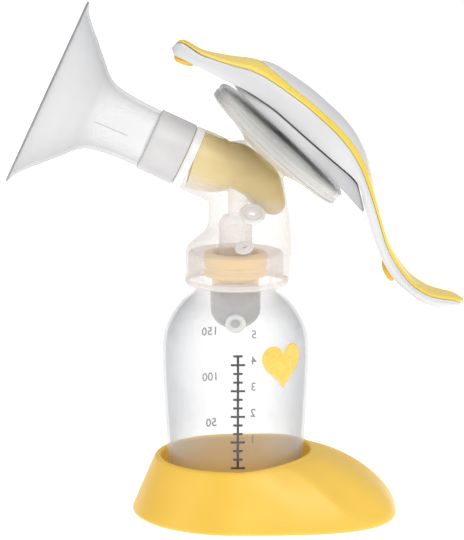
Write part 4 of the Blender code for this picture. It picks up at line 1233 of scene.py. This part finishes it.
def make_bracket():
    """Two ears under the lever that carry the pivot pin, with rounded lower ends."""
    for node, side in (("pin_bracket_near", -1.0), ("pin_bracket_far", 1.0)):
        rings = []
        for y, edge in ((0.0045, 0.0003), (0.0048, 0.0), (0.0065, 0.0), (0.0068, 0.0003)):
            outline = []
            for k in range(17):
                angle = math.pi + math.pi * k / 16
                outline.append(((0.0028 - edge) * math.cos(angle), PIN_Q + (0.0025 - edge) * math.sin(angle)))
            outline += [(0.0028 - edge, 0.0147), (0.0024 - edge, 0.0151), (edge - 0.0024, 0.0151),
                        (edge - 0.0028, 0.0147)]
            rings.append([dish_point(p, side * y, q) for p, q in outline])
        ear = loft(node + "_ear", rings, POM_WHITE, 45.0)
        bore = mm((0.0, -9.0), (1.7, -9.0), (1.7, 9.0), (0.0, 9.0))
        boolean(ear, lathe("bore", bore, *ON_PIN, POM_WHITE, 32), "DIFFERENCE")
        ear.data.set_sharp_from_angle(angle=math.radians(40.0))
        place(ear, "handle", node)


# ---------------------------------------------------------------- studio
# name, place, size and power of each soft box
SOFT_BOXES = (
    ("key", Vector((0.45, -0.85, 0.95)), 0.7, 5.0),
    ("fill", Vector((-0.95, -0.55, 0.45)), 0.8, 1.4),
    ("top", Vector((0.15, 0.20, 1.25)), 0.9, 4.5),
)
LIGHT_TARGET = Vector((0.0, 0.0, 0.10))
CAMERA_AIM = Vector((-0.00146, 0.0, 0.10096))
CAMERA_PITCH = math.radians(11.0)
CAMERA_AWAY = 1.23
FLOOR_REACH = 8.0
CLEAR_WALLS = 32


def floor_white():
    s = Surface("sweep_white")
    s.into("Base Color", s.mottle(6.0, 2.0, (0.9207, 0.9207, 0.9207), (0.93, 0.93, 0.93)))
    s.rough(9.0, 2.0, 0.80, 0.85)
    s.set(Emission_Color=(1.0, 1.0, 1.0, 1.0), Emission_Strength=0.62)
    return s.mat


def make_studio():
    """Plain white floor, big soft boxes, and the camera."""
    scene = bpy.context.scene
    scene.cycles.transparent_max_bounces = CLEAR_WALLS
    reach = FLOOR_REACH
    mesh = bpy.data.meshes.new("sweep")
    mesh.from_pydata([(x, y, -0.0001) for x in (-reach, reach) for y in (-reach, reach)], [], [(0, 1, 3, 2)])
    mesh.materials.append(floor_white())
    mesh.shade_smooth()
    linked("sweep", mesh)

    # the sky is white to the camera and half as bright to everything else
    world = bpy.data.worlds.new("studio")
    world.use_nodes = True
    tree = world.node_tree
    sky = tree.nodes["Background"]
    sky.inputs["Color"].default_value = (1.0, 1.0, 1.0, 1.0)
    path = tree.nodes.new("ShaderNodeLightPath")
    level = tree.nodes.new("ShaderNodeMapRange")
    level.inputs["To Min"].default_value = 0.50
    level.inputs["To Max"].default_value = 1.0
    tree.links.new(path.outputs["Is Camera Ray"], level.inputs["Value"])
    tree.links.new(level.outputs["Result"], sky.inputs["Strength"])
    scene.world = world

    for name, spot, size, power in SOFT_BOXES:
        lamp = bpy.data.lights.new(name, "AREA")
        lamp.shape = "SQUARE"
        lamp.size = size
        lamp.energy = power
        holder = linked(name, lamp)
        holder.location = spot
        holder.rotation_mode = "QUATERNION"
        holder.rotation_quaternion = (LIGHT_TARGET - spot).to_track_quat("-Z", "Y")

    camera = bpy.data.cameras.new("camera")
    camera.lens = 200.0
    camera.sensor_width = 36.0
    camera.clip_start = 0.05
    camera.clip_end = 20.0
    eye = linked("camera", camera)
    eye.location = CAMERA_AIM + Vector((0.0, -math.cos(CAMERA_PITCH), math.sin(CAMERA_PITCH))) * CAMERA_AWAY
    eye.rotation_euler = (math.radians(90.0) - CAMERA_PITCH, 0.0, 0.0)
    scene.camera = eye
    scene.view_settings.view_transform = "Standard"


make_studio()
make_stand()
make_bottle()
make_prints()
make_connector()
make_liner()
make_valve()
make_membrane()
make_shield()
make_dish()
make_shell()
make_inlay()
make_crown()
make_pads()
make_keel()
make_bracket()
